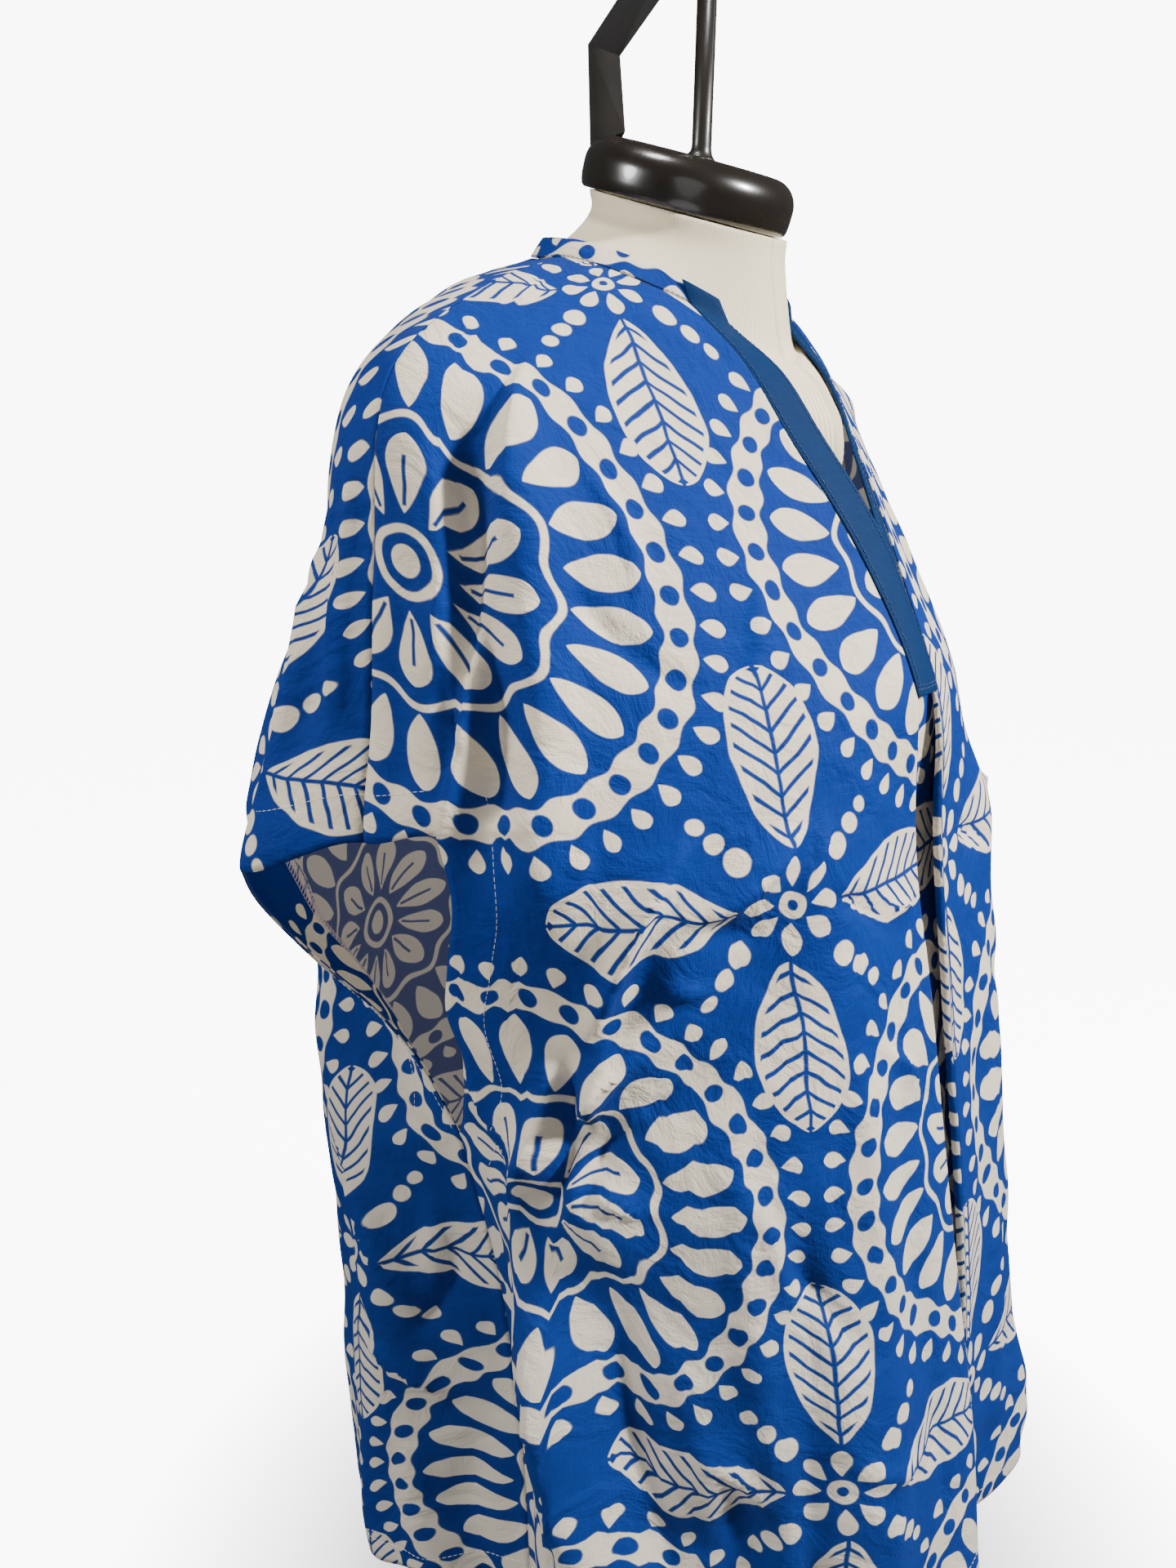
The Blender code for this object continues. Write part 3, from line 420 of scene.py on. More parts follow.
class Half:
    # one half of a panel: its fine grid, with the sleeve above the sleeve's hem
    def __init__(self, panel, side):
        self.panel, self.side = panel, side
        self.body, self.where = sheetGrid(panel, side, rows, False)
        self.top, self.topWhere = sheetGrid(panel, side, sleeveRows, True)
        n = len(sleeveRows)
        self.body[:n] = self.top[:, :bodyCount]
        if panel == "front":
            lipName = "rightLip" if side < 0 else "leftLip"
            normals = gridNormals(self.body)
            for i in range(topRows, len(rows)):
                away = self.where[i] - self.where[i][0]
                lip = pleatCurves[lipName](rows[i]) * np.exp(-(away / lipSpread) ** 2)
                self.body[i] += normals[i] * lip[:, None]
                if i < n:
                    self.top[i, :bodyCount] = self.body[i]
        self.normals, self.topNormals = gridNormals(self.body), gridNormals(self.top)
        self.normals[:n] = self.topNormals[:, :bodyCount]
        self.flatDown = self.runDown(self.body)
        self.topFlatDown = self.runDown(self.top)

    def runDown(self, grid):
        # length of cloth down each column, counted from the row at the pleat's top
        step = np.linalg.norm(np.diff(grid, axis=0), axis=2)
        run = np.concatenate([np.zeros((1, grid.shape[1])), np.cumsum(step, axis=0)])
        return run - run[topRows] + pleatTop

    def at(self, where, reach, out=0.0):
        # point on the cloth and its normal, for what is sewn on it
        upper = reach <= sleeveHem + 0.001
        reaches = sleeveRows if upper else rows
        grid = self.top if upper else self.body
        wheres = self.topWhere if upper else self.where
        normals = self.topNormals if upper else self.normals
        i = int(np.clip(np.searchsorted(reaches, reach) - 1, 0, len(reaches) - 2))
        share = np.clip((reach - reaches[i]) / (reaches[i + 1] - reaches[i]), 0, 1)
        p, n = np.zeros(3), np.zeros(3)
        for k, weight in ((i, 1 - share), (i + 1, share)):
            for c in range(3):
                p[c] += weight * np.interp(where, wheres[k], grid[k][:, c])
                n[c] += weight * np.interp(where, wheres[k], normals[k][:, c])
        n /= np.linalg.norm(n)
        return p + n * out, n


halves = {(panel, side): Half(panel, side) for panel in ("front", "back") for side in (-1, 1)}
print("cloth surfaces worked out:", len(rows), "rows")


# Making meshes

def toWorld(points):
    points = np.asarray(points, float)
    return (points + [0, whole["poleY"], whole["capRim"]]) * 0.001


def newPiece(name, points, faces, materials, uv=None):
    mesh = bpy.data.meshes.new(name)
    mesh.from_pydata([tuple(p) for p in toWorld(points)], [], faces)
    mesh.update()
    for made in materials:
        mesh.materials.append(made)
    if uv is not None:
        layer = mesh.uv_layers.new(name="flat")
        loops = np.zeros(len(mesh.loops), int)
        mesh.loops.foreach_get("vertex_index", loops)
        layer.data.foreach_set("uv", (np.asarray(uv, float)[loops] * 0.001).ravel())
    mesh.shade_smooth()
    piece = bpy.data.objects.new(name, mesh)
    bpy.context.scene.collection.objects.link(piece)
    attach(piece, "root")
    return piece


def thicken(piece, wall, inner=0):
    shell = piece.modifiers.new("wall", "SOLIDIFY")
    shell.thickness, shell.offset, shell.material_offset = wall * 0.001, 0, inner
    shell.use_even_offset = False


def roundEdges(piece, width):
    edge = piece.modifiers.new("edge", "BEVEL")
    edge.width, edge.segments, edge.limit_method = width * 0.001, 2, "ANGLE"


def flatPlaces(across, down):
    # place of each point on the flat cloth, for the print
    return list(np.stack(np.broadcast_arrays(across, down), -1).reshape(-1, 2))


def gridFaces(rowCount, columnCount, first=0, flip=False):
    faces = []
    for i in range(rowCount - 1):
        for j in range(columnCount - 1):
            a = first + i * columnCount + j
            quad = (a, a + 1, a + 1 + columnCount, a + columnCount)
            faces.append(quad[::-1] if flip else quad)
    return faces


def tubeFaces(ringCount, n, first=0, flip=False):
    # a tube of rings with n points each, closed at both ends
    faces = []
    for i in range(ringCount - 1):
        for k in range(n):
            a, b = first + i * n + k, first + i * n + (k + 1) % n
            faces.append((a, b, b + n, a + n))
    faces.append(tuple(first + k for k in range(n - 1, -1, -1)))
    faces.append(tuple(first + (ringCount - 1) * n + k for k in range(n)))
    return [face[:1] + face[:0:-1] for face in faces] if flip else faces


# Shader maths

class Wire:
    def __init__(self, socket):
        self.socket, self.tree = socket, socket.id_data

    def make(self, kind, settings, sockets, output=0):
        node = self.tree.nodes.new(kind)
        for name, value in settings.items():
            setattr(node, name, value)
        for name, value in sockets.items():
            if isinstance(value, Wire):
                self.tree.links.new(value.socket, node.inputs[name])
            else:
                node.inputs[name].default_value = value
        return Wire(node.outputs[output])

    def other(self, output):
        return Wire(self.socket.node.outputs[output])

    def parts(self):
        first = self.make("ShaderNodeSeparateXYZ", {}, {0: self})
        return first, first.other(1)

    def noise(self, scale, detail, output=0, **more):
        sockets = {"Vector": self, "Scale": scale, "Detail": detail, **more}
        return self.make("ShaderNodeTexNoise", {}, sockets, output)

    def bump(self, strength, distance):
        return self.make("ShaderNodeBump", {}, {"Height": self, "Strength": strength, "Distance": distance})

    def math(self, operation, *others, clamp=False):
        values = dict(enumerate((self, *others)))
        return self.make("ShaderNodeMath", {"operation": operation, "use_clamp": clamp}, values)

    def __add__(self, other):
        return self.math("ADD", other)

    def __sub__(self, other):
        return self.math("SUBTRACT", other)

    def __mul__(self, other):
        return self.math("MULTIPLY", other)

    def __truediv__(self, other):
        return self.math("DIVIDE", other)

    def __pow__(self, other):
        return self.math("POWER", other)

    def __radd__(self, other):
        return self.math("ADD", other)

    def __rmul__(self, other):
        return self.math("MULTIPLY", other)

    def __abs__(self):
        return self.math("ABSOLUTE")

    def __rsub__(self, other):
        return self.make("ShaderNodeMath", {"operation": "SUBTRACT"}, {0: other, 1: self})

    def __rtruediv__(self, other):
        return self.make("ShaderNodeMath", {"operation": "DIVIDE"}, {0: other, 1: self})

    def clamped(self):
        return self.math("MULTIPLY", 1.0, clamp=True)

    def inside(self, soft):
        # 1 where the value is below zero, with an edge this soft
        return self.math("MULTIPLY_ADD", -1.0 / soft, 0.5, clamp=True)


def mixColour(share, a, b):
    wire = next(v for v in (share, a, b) if isinstance(v, Wire))
    return wire.make("ShaderNodeMix", {"data_type": "RGBA"}, {0: share, 6: a, 7: b}, 2)


def newMaterial(name):
    made = bpy.data.materials.new(name)
    made.use_nodes = True
    shader = made.node_tree.nodes["Principled BSDF"]
    return made, shader, Wire(made.node_tree.nodes.new("ShaderNodeTexCoord").outputs["UV"])


def lightThrough(made, shader, share, colour):
    # thin cloth glows a little when it is lit from behind
    face = Wire(shader.outputs[0])
    through = face.make("ShaderNodeBsdfTranslucent", {}, {"Color": colour})
    blend = face.make("ShaderNodeMixShader", {}, {0: share, 1: face, 2: through})
    face.tree.links.new(blend.socket, made.node_tree.nodes["Material Output"].inputs["Surface"])


def feed(shader, sockets):
    for name, value in sockets.items():
        if isinstance(value, Wire):
            value.tree.links.new(value.socket, shader.inputs[name])
        else:
            shader.inputs[name].default_value = value


# The print, in metres of flat cloth. A wheel of petals has a count, an inner and an outer
# radius and a half width, then its turn and where along its length a petal is widest.
printDesign = {
    "repeatAcross": 0.300, "repeatDown": 0.340, "shiftAcross": 0.052, "shiftDown": 0.118,
    "edge": 0.0007, "drift": 0.005,
    "blue": (0.0026, 0.038, 0.270, 1), "blueDeep": (0.0018, 0.024, 0.185, 1),
    "offWhite": (0.88, 0.79, 0.62, 1), "offWhiteWarm": (0.80, 0.69, 0.50, 1),
    "offWhiteShaded": (0.56, 0.53, 0.46, 1), "blueShaded": (0.0035, 0.029, 0.175, 1),
    "shadeFrom": 0.42, "lowOver": 0.22,                # painted shade: the cloth darkens lower down, where no form lies behind it
    # wrong side: the paler print seen from behind, brightened further as painted light for the shaded inside
    "wrongBluePaleAndLit": (0.66, 0.66, 0.74, 1), "wrongOffWhitePaleAndLit": (0.80, 0.78, 0.80, 1),
    # glow is painted light: the strength of the glow given to the wrong side and the turned hems
    "rim": (0.006, 0.028, 0.15, 1), "through": (0.30, 0.38, 0.55, 1), "throughShare": 0.12, "glow": 0.22,
    "heart": 0.008, "heartRing": 0.0155, "heartRingHalf": 0.0022,
    "innerPetals": (12, 0.022, 0.060, 0.0094), "vein": 0.0009,
    "scallop": 0.0665, "scallopWave": -0.0025, "scallopHalf": 0.0020,
    "outerPetals": (24, 0.072, 0.110, 0.0094, 0.5, 0.35),
    "band": 0.1225, "bandHalf": 0.0085, "bandWave": 0.0012, "bandCount": 36, "bandHole": 0.0050,
    "rimPetals": (48, 0.1335, 0.1465, 0.0050),
    "budRing": 0.0055, "budRingHalf": 0.0025, "budPetals": (8, 0.010, 0.028, 0.0058, 0.5),
    "leaves": (4, 0.031, 0.124, 0.0250, 0.5, 0.36), "leafRib": 0.0011,
    "leafVeinStep": 0.0105, "leafVein": 0.0013, "leafMargin": 0.0032,
    "leafDots": ((0.041, 0.0068), (0.0555, 0.0056), (0.068, 0.0044)),      # place and size
}


def petals(r, turn, count, r0, r1, halfWidth, phase=0.0, lean=0.5):
    # signed distance to a wheel of petals between two radii
    slot = (turn * count + phase).math("FRACT") - 0.5
    across = abs(slot * r * (2 * pi / count))
    t = ((r - r0) / (r1 - r0)).clamped()
    half = (4 * t * (1 - t)).math("POWER", 0.6) * (t * (2 * lean) + (1 - lean)) * halfWidth
    return across - half + 0.0009, across, t


def dots(r, turn, count, ringRadius, radius):
    slot = (turn * count).math("FRACT") - 0.5
    across = slot * r * (2 * pi / count)
    return ((r - ringRadius) ** 2 + across * across).math("SQRT") - radius


def together(*masks):
    total = masks[0]
    for mask in masks[1:]:
        total = total.math("MAXIMUM", mask)
    return total


def printMask(uv):
    # large flowers and crossed leaves in a half-drop repeat: 1 is off-white, 0 is blue
    d, e = printDesign, printDesign["edge"]
    u, v = uv.parts()
    driftAcross, driftDown = uv.noise(38.0, 1.5, 1).parts()
    u = u + (driftAcross - 0.5) * d["drift"] + d["shiftAcross"]
    v = v + (driftDown - 0.5) * d["drift"] + d["shiftDown"]

    def polar(shift):
        x = ((u / d["repeatAcross"] + shift).math("FRACT") - 0.5) * d["repeatAcross"]
        y = ((v / d["repeatDown"] + shift).math("FRACT") - 0.5) * d["repeatDown"]
        return (x * x + y * y).math("SQRT"), y.math("ARCTAN2", x) / (2 * pi) + 0.5

    def ripples(turn, count):
        return (turn * (count * 2 * pi)).math("COSINE")

    # the flower
    r, turn = polar(0.5)
    inner, across, t = petals(r, turn, *d["innerPetals"])
    length = d["innerPetals"][2] - d["innerPetals"][1]
    vein = (abs(t - 0.42) - 0.30).math("MAXIMUM", (across - d["vein"]) / length)
    scallop = abs(r - d["scallop"] - ripples(turn, d["innerPetals"][0]) * d["scallopWave"])
    band = abs(r - d["band"]) - d["bandHalf"] - ripples(turn, d["bandCount"]) * d["bandWave"]
    flower = together(
        (r - d["heart"]).inside(e),
        (abs(r - d["heartRing"]) - d["heartRingHalf"]).inside(e),
        inner.inside(e) * (1 - (vein * length).inside(e)),
        (scallop - d["scallopHalf"]).inside(e),
        petals(r, turn, *d["rimPetals"])[0].inside(e),
        petals(r, turn, *d["outerPetals"])[0].inside(e),
        band.inside(e) * (1 - dots(r, turn, d["bandCount"], d["band"], d["bandHole"]).inside(e)))

    # the crossed leaves
    r, turn = polar(0.0)
    leaf, across, t = petals(r, turn, *d["leaves"])
    step = d["leafVeinStep"]
    chevron = abs(((r - across * 0.9) / step).math("FRACT") - 0.5) * step - d["leafVein"]
    veins = chevron.inside(e) * (leaf + d["leafMargin"]).inside(e)
    leaves = together(
        (abs(r - d["budRing"]) - d["budRingHalf"]).inside(e),
        petals(r, turn, *d["budPetals"])[0].inside(e),
        leaf.inside(e) * (1 - together((across - d["leafRib"]).inside(e), veins)),
        *(dots(r, turn, d["leaves"][0], place, size).inside(e) for place, size in d["leafDots"]))
    return together(flower, leaves), v


def threads(uv, along, across, detail=2.0):
    # uneven yarns: noise drawn out along one direction of the weave
    stretch = uv.make("ShaderNodeMapping", {}, {"Vector": uv, "Scale": (along, across, 1)})
    return stretch.noise(1.0, detail)


def clothBump(uv, strength, crumple):
    warp, weft = threads(uv, 1500, 130), threads(uv, 130, 1500)
    small = uv.noise(34.0, 5.0, Roughness=0.58, Distortion=0.7)
    return ((warp + weft) * 0.00022 + small * crumple).bump(strength, 1.0)


def printedCloth(name, wrongSide=False, paintedLight=False):
    made, shader, uv = newMaterial(name)
    d = printDesign
    mask, down = printMask(uv)
    outline = 4 * mask * (1 - mask)
    yarn = ((threads(uv, 900, 60, 3.0) + threads(uv, 50, 800, 3.0)) * 1.25 - 0.75).clamped()
    blue = mixColour(yarn * 0.75, d["blueDeep"], d["blue"])
    light = mixColour((yarn * 0.6 + uv.noise(14.0, 3.0) * 0.5).clamped(), d["offWhiteWarm"], d["offWhite"])
    # painted shade: off-white and blue turn darker and greyer towards the bottom of the cloth
    low = ((down - d["shiftDown"] - d["shadeFrom"]) / d["lowOver"]).clamped()
    light = mixColour(low * 0.6, light, d["offWhiteShaded"])
    blue = mixColour(low * 0.6, blue, d["blueShaded"])
    if wrongSide:
        blue = mixColour(0.16, blue, d["wrongBluePaleAndLit"])              # the print shows paler from behind, and paler still as painted light, so the shaded inside of the sleeve looks lit
        light = mixColour(0.30, light, d["wrongOffWhitePaleAndLit"])
    cloth = mixColour(mask, blue, light)
    feed(shader, {"Base Color": mixColour(outline * 0.55, cloth, d["rim"]),
                  "Roughness": 0.80 - yarn * 0.12, "Sheen Weight": 0.02, "Sheen Roughness": 0.45,
                  "Specular IOR Level": 0.12, "Normal": clothBump(uv, 1.0, 0.0042)})
    if paintedLight:
        feed(shader, {"Emission Color": cloth, "Emission Strength": d["glow"]})      # painted light: the cloth glows faintly in its own colour, standing in for daylight through the cloth
    lightThrough(made, shader, d["throughShare"], d["through"])
    return made


def plainCloth(name, colour, deep):
    made, shader, uv = newMaterial(name)
    yarn = ((threads(uv, 1100, 80, 3.0) + threads(uv, 80, 1100, 3.0)) * 1.3 - 0.8).clamped()
    tone = (yarn * 0.5 + uv.noise(22.0, 3.0) * 0.6).clamped()
    feed(shader, {"Base Color": mixColour(tone, deep, colour), "Roughness": 0.74 - yarn * 0.1,
                  "Sheen Weight": 0.01, "Specular IOR Level": 0.10, "Normal": clothBump(uv, 0.8, 0.0012)})
    return made


def threadFinish(name, colour):
    made, shader, uv = newMaterial(name)
    twist = uv.other("Object").noise(900.0, 1.0)
    # painted light: the thread glows faintly in its own colour, so stitches lying in shade still show
    feed(shader, {"Base Color": mixColour(twist, tuple(c * 0.7 for c in colour[:3]) + (1,), colour),
                  "Roughness": 0.55, "Sheen Weight": 0.2, "Emission Color": colour,
                  "Emission Strength": 0.12})
    return made


finish = {
    "print": printedCloth("printedCloth"),
    "printInside": printedCloth("printedClothInsidePaintedGlow", wrongSide=True, paintedLight=True),
    "printTurned": printedCloth("printedClothTurnedPaintedGlow", paintedLight=True),
    "band": plainCloth("plainBlueBand", (0.0009, 0.023, 0.090, 1), (0.0006, 0.016, 0.066, 1)),
    "whiteThread": threadFinish("whiteThread", (0.80, 0.78, 0.76, 1)),
    "blueThread": threadFinish("blueThread", (0.010, 0.040, 0.16, 1)),
    "roseThread": threadFinish("roseThread", (0.78, 0.64, 0.66, 1)),
}
print("cloth and thread finishes made")


# Front with its inverted pleat

frontSettings = {"pleatTurn": 4, "pleatRun": 9, "flatStart": 84}


def pleatProfile(reach, gap):
    middle, under = pleatCurves["middle"](reach), pleatCurves["under"](reach)
    foldRadius, backRadius = middle / 2, (under - middle) / 2
    turns = np.linspace(0, 1, frontSettings["pleatTurn"] + 2)[1:-1]
    runs = np.linspace(0, 1, frontSettings["pleatRun"])
    profile = [(gap - foldRadius * cos((1.5 + t) * pi), foldRadius + foldRadius * sin((1.5 + t) * pi))
               for t in turns]
    profile += [(gap + pleatDepth * s, middle) for s in runs]
    profile += [(gap + pleatDepth + backRadius * cos((t - 0.5) * pi),
                 middle + backRadius + backRadius * sin((t - 0.5) * pi)) for t in turns]
    profile += [(gap + pleatDepth * s, under) for s in runs[::-1]]
    return profile


def pleatHalf(side, reach, row):
    gap = pleatCurves["rightGap" if side < 0 else "leftGap"](reach)
    width = side * row[:, 0]
    order = np.argsort(width)
    points = []
    for distance, depth in pleatProfile(reach, gap):
        onRow = max(distance, width[0])
        y = np.interp(onRow, width[order], row[order, 1])
        z = np.interp(onRow, width[order], row[order, 2])
        points.append(np.array([side * distance, y + depth, z]))
    return points


def addSleeve(half, first, rowLength, flip, points, uv, faces, flatShift):
    extra = half.top[:, bodyCount:]
    n, start = extra.shape[1], len(points)
    points += list(extra.reshape(-1, 3))
    uv += flatPlaces(half.side * (half.topWhere[:, bodyCount:] + flatShift), half.topFlatDown[:, bodyCount:])
    faces += gridFaces(len(extra), n, start, flip)
    for i in range(len(extra) - 1):
        edge, following = first + i * rowLength, start + i * n
        quad = (edge, following, following + n, edge + rowLength)
        faces.append(quad[::-1] if flip else quad)


def makeFront():
    points, uv, faces, first, n = [], [], [], {}, bodyCount
    shift = frontSettings["flatStart"]
    for side in (-1, 1):
        half = halves["front", side]
        first[side] = len(points)
        points += list(half.body.reshape(-1, 3))
        uv += flatPlaces(side * (half.where + shift), half.flatDown)
        faces += gridFaces(len(rows), n, first[side], flip=side > 0)
        addSleeve(half, first[side] + n - 1, n, side > 0, points, uv, faces, shift)
    strips = []
    for i in range(topRows, len(rows)):
        right, left = (pleatHalf(side, rows[i], halves["front", side].body[i]) for side in (-1, 1))
        strips.append(right + [0.5 * (right[-1] + left[-1])] + left[::-1])
    strips = np.array(strips)
    width, start = strips.shape[1], len(points)
    points += list(strips.reshape(-1, 3))
    runs = np.cumsum(np.linalg.norm(np.diff(strips, axis=1), axis=2), axis=1)
    runs = np.concatenate([np.zeros((len(strips), 1)), runs], axis=1)
    uv += flatPlaces(runs - runs[:, -1:] / 2, halves["front", -1].flatDown[topRows:, :1])
    faces += gridFaces(len(strips), width, start, flip=True)
    for i in range(len(strips) - 1):
        right, left, row = first[-1] + (topRows + i) * n, first[1] + (topRows + i) * n, start + i * width
        faces.append((right, right + n, row + width, row))
        faces.append((row + width - 1, row + 2 * width - 1, left + n, left))
    piece = newPiece("frontCloth", points, faces, [finish["print"], finish["printInside"]], uv)
    thicken(piece, whole["wall"], inner=1)
    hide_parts("front")
    return piece


backSettings = {"flatStart": (40, 60)}        # the back is cut from another place in the print


def makeBack():
    right, left = halves["back", -1], halves["back", 1]
    grid = np.concatenate([right.body[:, ::-1], left.body[:, 1:]], axis=1)
    width = grid.shape[1]
    grid[:, width // 2] = 0.5 * (right.body[:, 0] + left.body[:, 0])
    across = np.concatenate([-right.where[:, ::-1], left.where[:, 1:]], axis=1)
    down = np.concatenate([right.flatDown[:, ::-1], left.flatDown[:, 1:]], axis=1)
    points, uv, faces = list(grid.reshape(-1, 3)), flatPlaces(across, down), gridFaces(len(rows), width)
    addSleeve(right, 0, width, True, points, uv, faces, 0)
    addSleeve(left, width - 1, width, False, points, uv, faces, 0)
    uv = np.array(uv) + backSettings["flatStart"]
    piece = newPiece("backCloth", points, faces, [finish["print"], finish["printInside"]], uv)
    thicken(piece, whole["wall"], inner=1)
    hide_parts("back")
    return piece


frontCloth, backCloth = makeFront(), makeBack()
print("front and back made:", len(frontCloth.data.polygons), len(backCloth.data.polygons))


# V bands, one over the other

bandSettings = {"width": 24, "rise": 13, "risePull": (0.8, 0.3, 1), "step": 1.2, "wall": 1.5, "columns": 10,
                "clear": 1.6, "crossingTop": 90, "crossingLength": 75, "ripple": 0.25, "roll": -0.5,
                "edge": 0.5}
riseShares = (1, 0.66, 0.33)


def bandRow(side, reach, fractions):
    points, length = ringAt("front", reach)
    start = widthToWhere(reach, vHalf(reach))
    row = []
    for fraction in fractions:
        where = start - 0.25 - fraction * bandSettings["width"]
        point = pointAlong(abs(where), length, points)
        point[0] *= side if where > 0 else -side
        row.append(point)
    return np.array(row)


def bandGrid(side, step):
    b = bandSettings
    reaches = marks((neckline, pleatTop - b["clear"]), whole["rowStep"])
    fractions = np.linspace(0, 1, b["columns"])
    grid = np.array([bandRow(side, reach, fractions) for reach in reaches])
    along = (grid[0] - grid[2]) * b["risePull"]            # the end goes on the way the band runs
    along /= np.linalg.norm(along, axis=1, keepdims=True)
    grid = np.concatenate([[grid[0] + b["rise"] * s * along for s in riseShares], grid])
    lift = step * smooth((np.concatenate([[0, 0, 0], reaches]) - b["crossingTop"]) / b["crossingLength"])
    ripple = b["ripple"] * wave(np.outer(np.arange(len(grid)) * 4.2, np.ones(b["columns"])),
                                np.outer(np.ones(len(grid)), fractions * b["width"]), 21 + side)
    roll = b["roll"] * (np.abs(fractions - 0.5) * 2) ** 6
    grid = grid + gridNormals(grid) * (lift[:, None] + ripple + roll[None, :])[..., None]
    return grid, reaches, fractions


def makeBand(name, node, side, step):
    grid, reaches, fractions = bandGrid(side, step)
    down = np.concatenate([[-13, -8.6, -4.3], reaches])
    uv = flatPlaces(fractions[None, :] * bandSettings["width"], down[:, None])
    piece = newPiece(name, grid.reshape(-1, 3), gridFaces(len(grid), bandSettings["columns"], 0, side > 0),
                     [finish["band"]], uv)
    thicken(piece, bandSettings["wall"])
    roundEdges(piece, bandSettings["edge"])
    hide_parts(node)
    return piece, grid


bandRight, bandRightGrid = makeBand("vBandRight", "v_band_right", -1, bandSettings["step"])
bandLeft, bandLeftGrid = makeBand("vBandLeft", "v_band_left", 1, -bandSettings["step"])
print("V bands made")


# Neckband

neckbandSettings = {"height": 13, "foot": 0.7, "lean": 0.15, "sideLean": 0.75, "end": 1.2, "middleY": 4,
                    "wall": 1.4, "bulge": 0.35, "ripple": 0.18, "edge": 0.5, "flatStart": (-60, 118)}


def necklinePath():
    half = []
    for panel in ("front", "back"):
        points, length = ringAt(panel, neckline)
        start = widthToWhere(0, vHalf(0)) if panel == "front" else 0
        places = np.linspace(start, length[-1], 49)
        half += list(pointAlong(places if panel == "front" else places[::-1][1:], length, points))
    left = np.array(half)
    path = np.concatenate([left * [-1, 1, 1], left[::-1][1:]])
    return path, runAlong(path)


neckPath, neckRun = necklinePath()


def neckPoint(place, height, out=0.0):
    point = pointAlong(place, neckRun, neckPath)
    inward = np.array([-point[0], neckbandSettings["middleY"] - point[1], 0])
    inward /= np.linalg.norm(inward)
    lean = neckbandSettings["lean"] + neckbandSettings["sideLean"] * inward[0] ** 2
    rise = np.array([inward[0] * lean, inward[1] * lean, 1])
    return point + height * rise / np.linalg.norm(rise) - inward * out


def makeNeckband():
    n = neckbandSettings
    heights = np.linspace(n["height"], n["foot"], 8)
    places = np.linspace(n["end"], neckRun[-1] - n["end"], 150)
    grid = []
    for h in heights:
        bulge = n["bulge"] * sin(pi * (h - n["foot"]) / (n["height"] - n["foot"]))
        grid.append([neckPoint(p, h, bulge + n["ripple"] * sin(p / 5.1) * sin(p / 13.7)) for p in places])
    across, down = n["flatStart"]
    uv = flatPlaces(places[None, :] + across, down - heights[:, None])
    piece = newPiece("neckbandCloth", np.array(grid).reshape(-1, 3),
                     gridFaces(len(heights), len(places), 0, True), [finish["print"]], uv)
    thicken(piece, n["wall"])
    roundEdges(piece, n["edge"])
    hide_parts("neckband")
    return piece


neckbandCloth = makeNeckband()
print("neckband made")


# Stitches

stitchSettings = {"sleeveInset": 25, "edgeInset": 3.5, "bodyInset": 16, "clothClear": 0.5,
                  "bandClear": 0.85, "bandFootGap": 2.2, "neckHeight": 1.5, "neckClear": 1.15}
barRings = ((0.0, 0.45, 0.15), (0.18, 1.0, 0.8), (0.82, 1.0, 0.8), (1.0, 0.45, 0.15))   # share, size, rise


def addBar(points, faces, a, b, up, thick):
    axis = (b - a) / max(np.linalg.norm(b - a), 1e-9)
    side = np.cross(axis, up)
    side /= max(np.linalg.norm(side), 1e-9)
    up = np.cross(side, axis)
    faces += tubeFaces(len(barRings), 6, len(points))
    for share, size, rise in barRings:
        centre = a + (b - a) * share + up * thick * 0.5 * rise
        for k in range(6):
            turn = k * pi / 3
            points.append(centre + thick * 0.5 * size * (side * cos(turn) + up * sin(turn)))


def stitchMesh(name, runs, finishName, length=2.6, gap=1.0, thick=0.32):
    # each run is a dense list of (point, normal); stitches are small rounded bars along it
    points, faces = [], []
    for run in runs:
        line, ups = (np.array(column) for column in zip(*run))
        along = runAlong(line)
        for s in np.arange(0.5 * gap, along[-1] - length, length + gap):
            a, b = (pointAlong(t, along, line) for t in (s, s + length))
            addBar(points, faces, a, b, pointAlong(s + length / 2, along, ups), thick)
    return newPiece(name, points, faces, [finish[finishName]])


def hemPath(panel, inset):
    # (where, reach) along the open edge of a sleeve from the overarm seam to the underarm
    total, corner = ringAt(panel, sleeveHem)[1][-1] - 0.4, edgeLength(panel, sleeveHem)
    path = [(w, sleeveHem - inset) for w in np.linspace(total, corner, 22)[:-1]]
    reaches = marks((sleeveHem - inset, underarm), 4.0)
    return path + [(edgeLength(panel, max(r, sleeveHem)) - inset, r) for r in reaches]


def clothRun(panel, side, path, out=stitchSettings["clothClear"]):
    return [halves[panel, side].at(w, r, out) for w, r in path]


# light stitches: sleeve hems, the edge of the back's sleeves and the bottom hem
lightRuns = [clothRun(p, s, hemPath(p, stitchSettings["sleeveInset"])) for p, s in halves]
for side in (-1, 1):
    edgeRow = [place for place in hemPath("back", stitchSettings["edgeInset"]) if place[1] > sleeveHem + 20]
    lightRuns.append(clothRun("back", side, edgeRow))
bodyReach = bodyHem - stitchSettings["bodyInset"]
for panel, side in halves:
    start = innerEdge(panel, side, bodyReach) + 1
    wheres = np.linspace(start, ringAt(panel, bodyReach)[1][-1] - 1, 80)
    lightRuns.append(clothRun(panel, side, [(w, bodyReach) for w in wheres]))

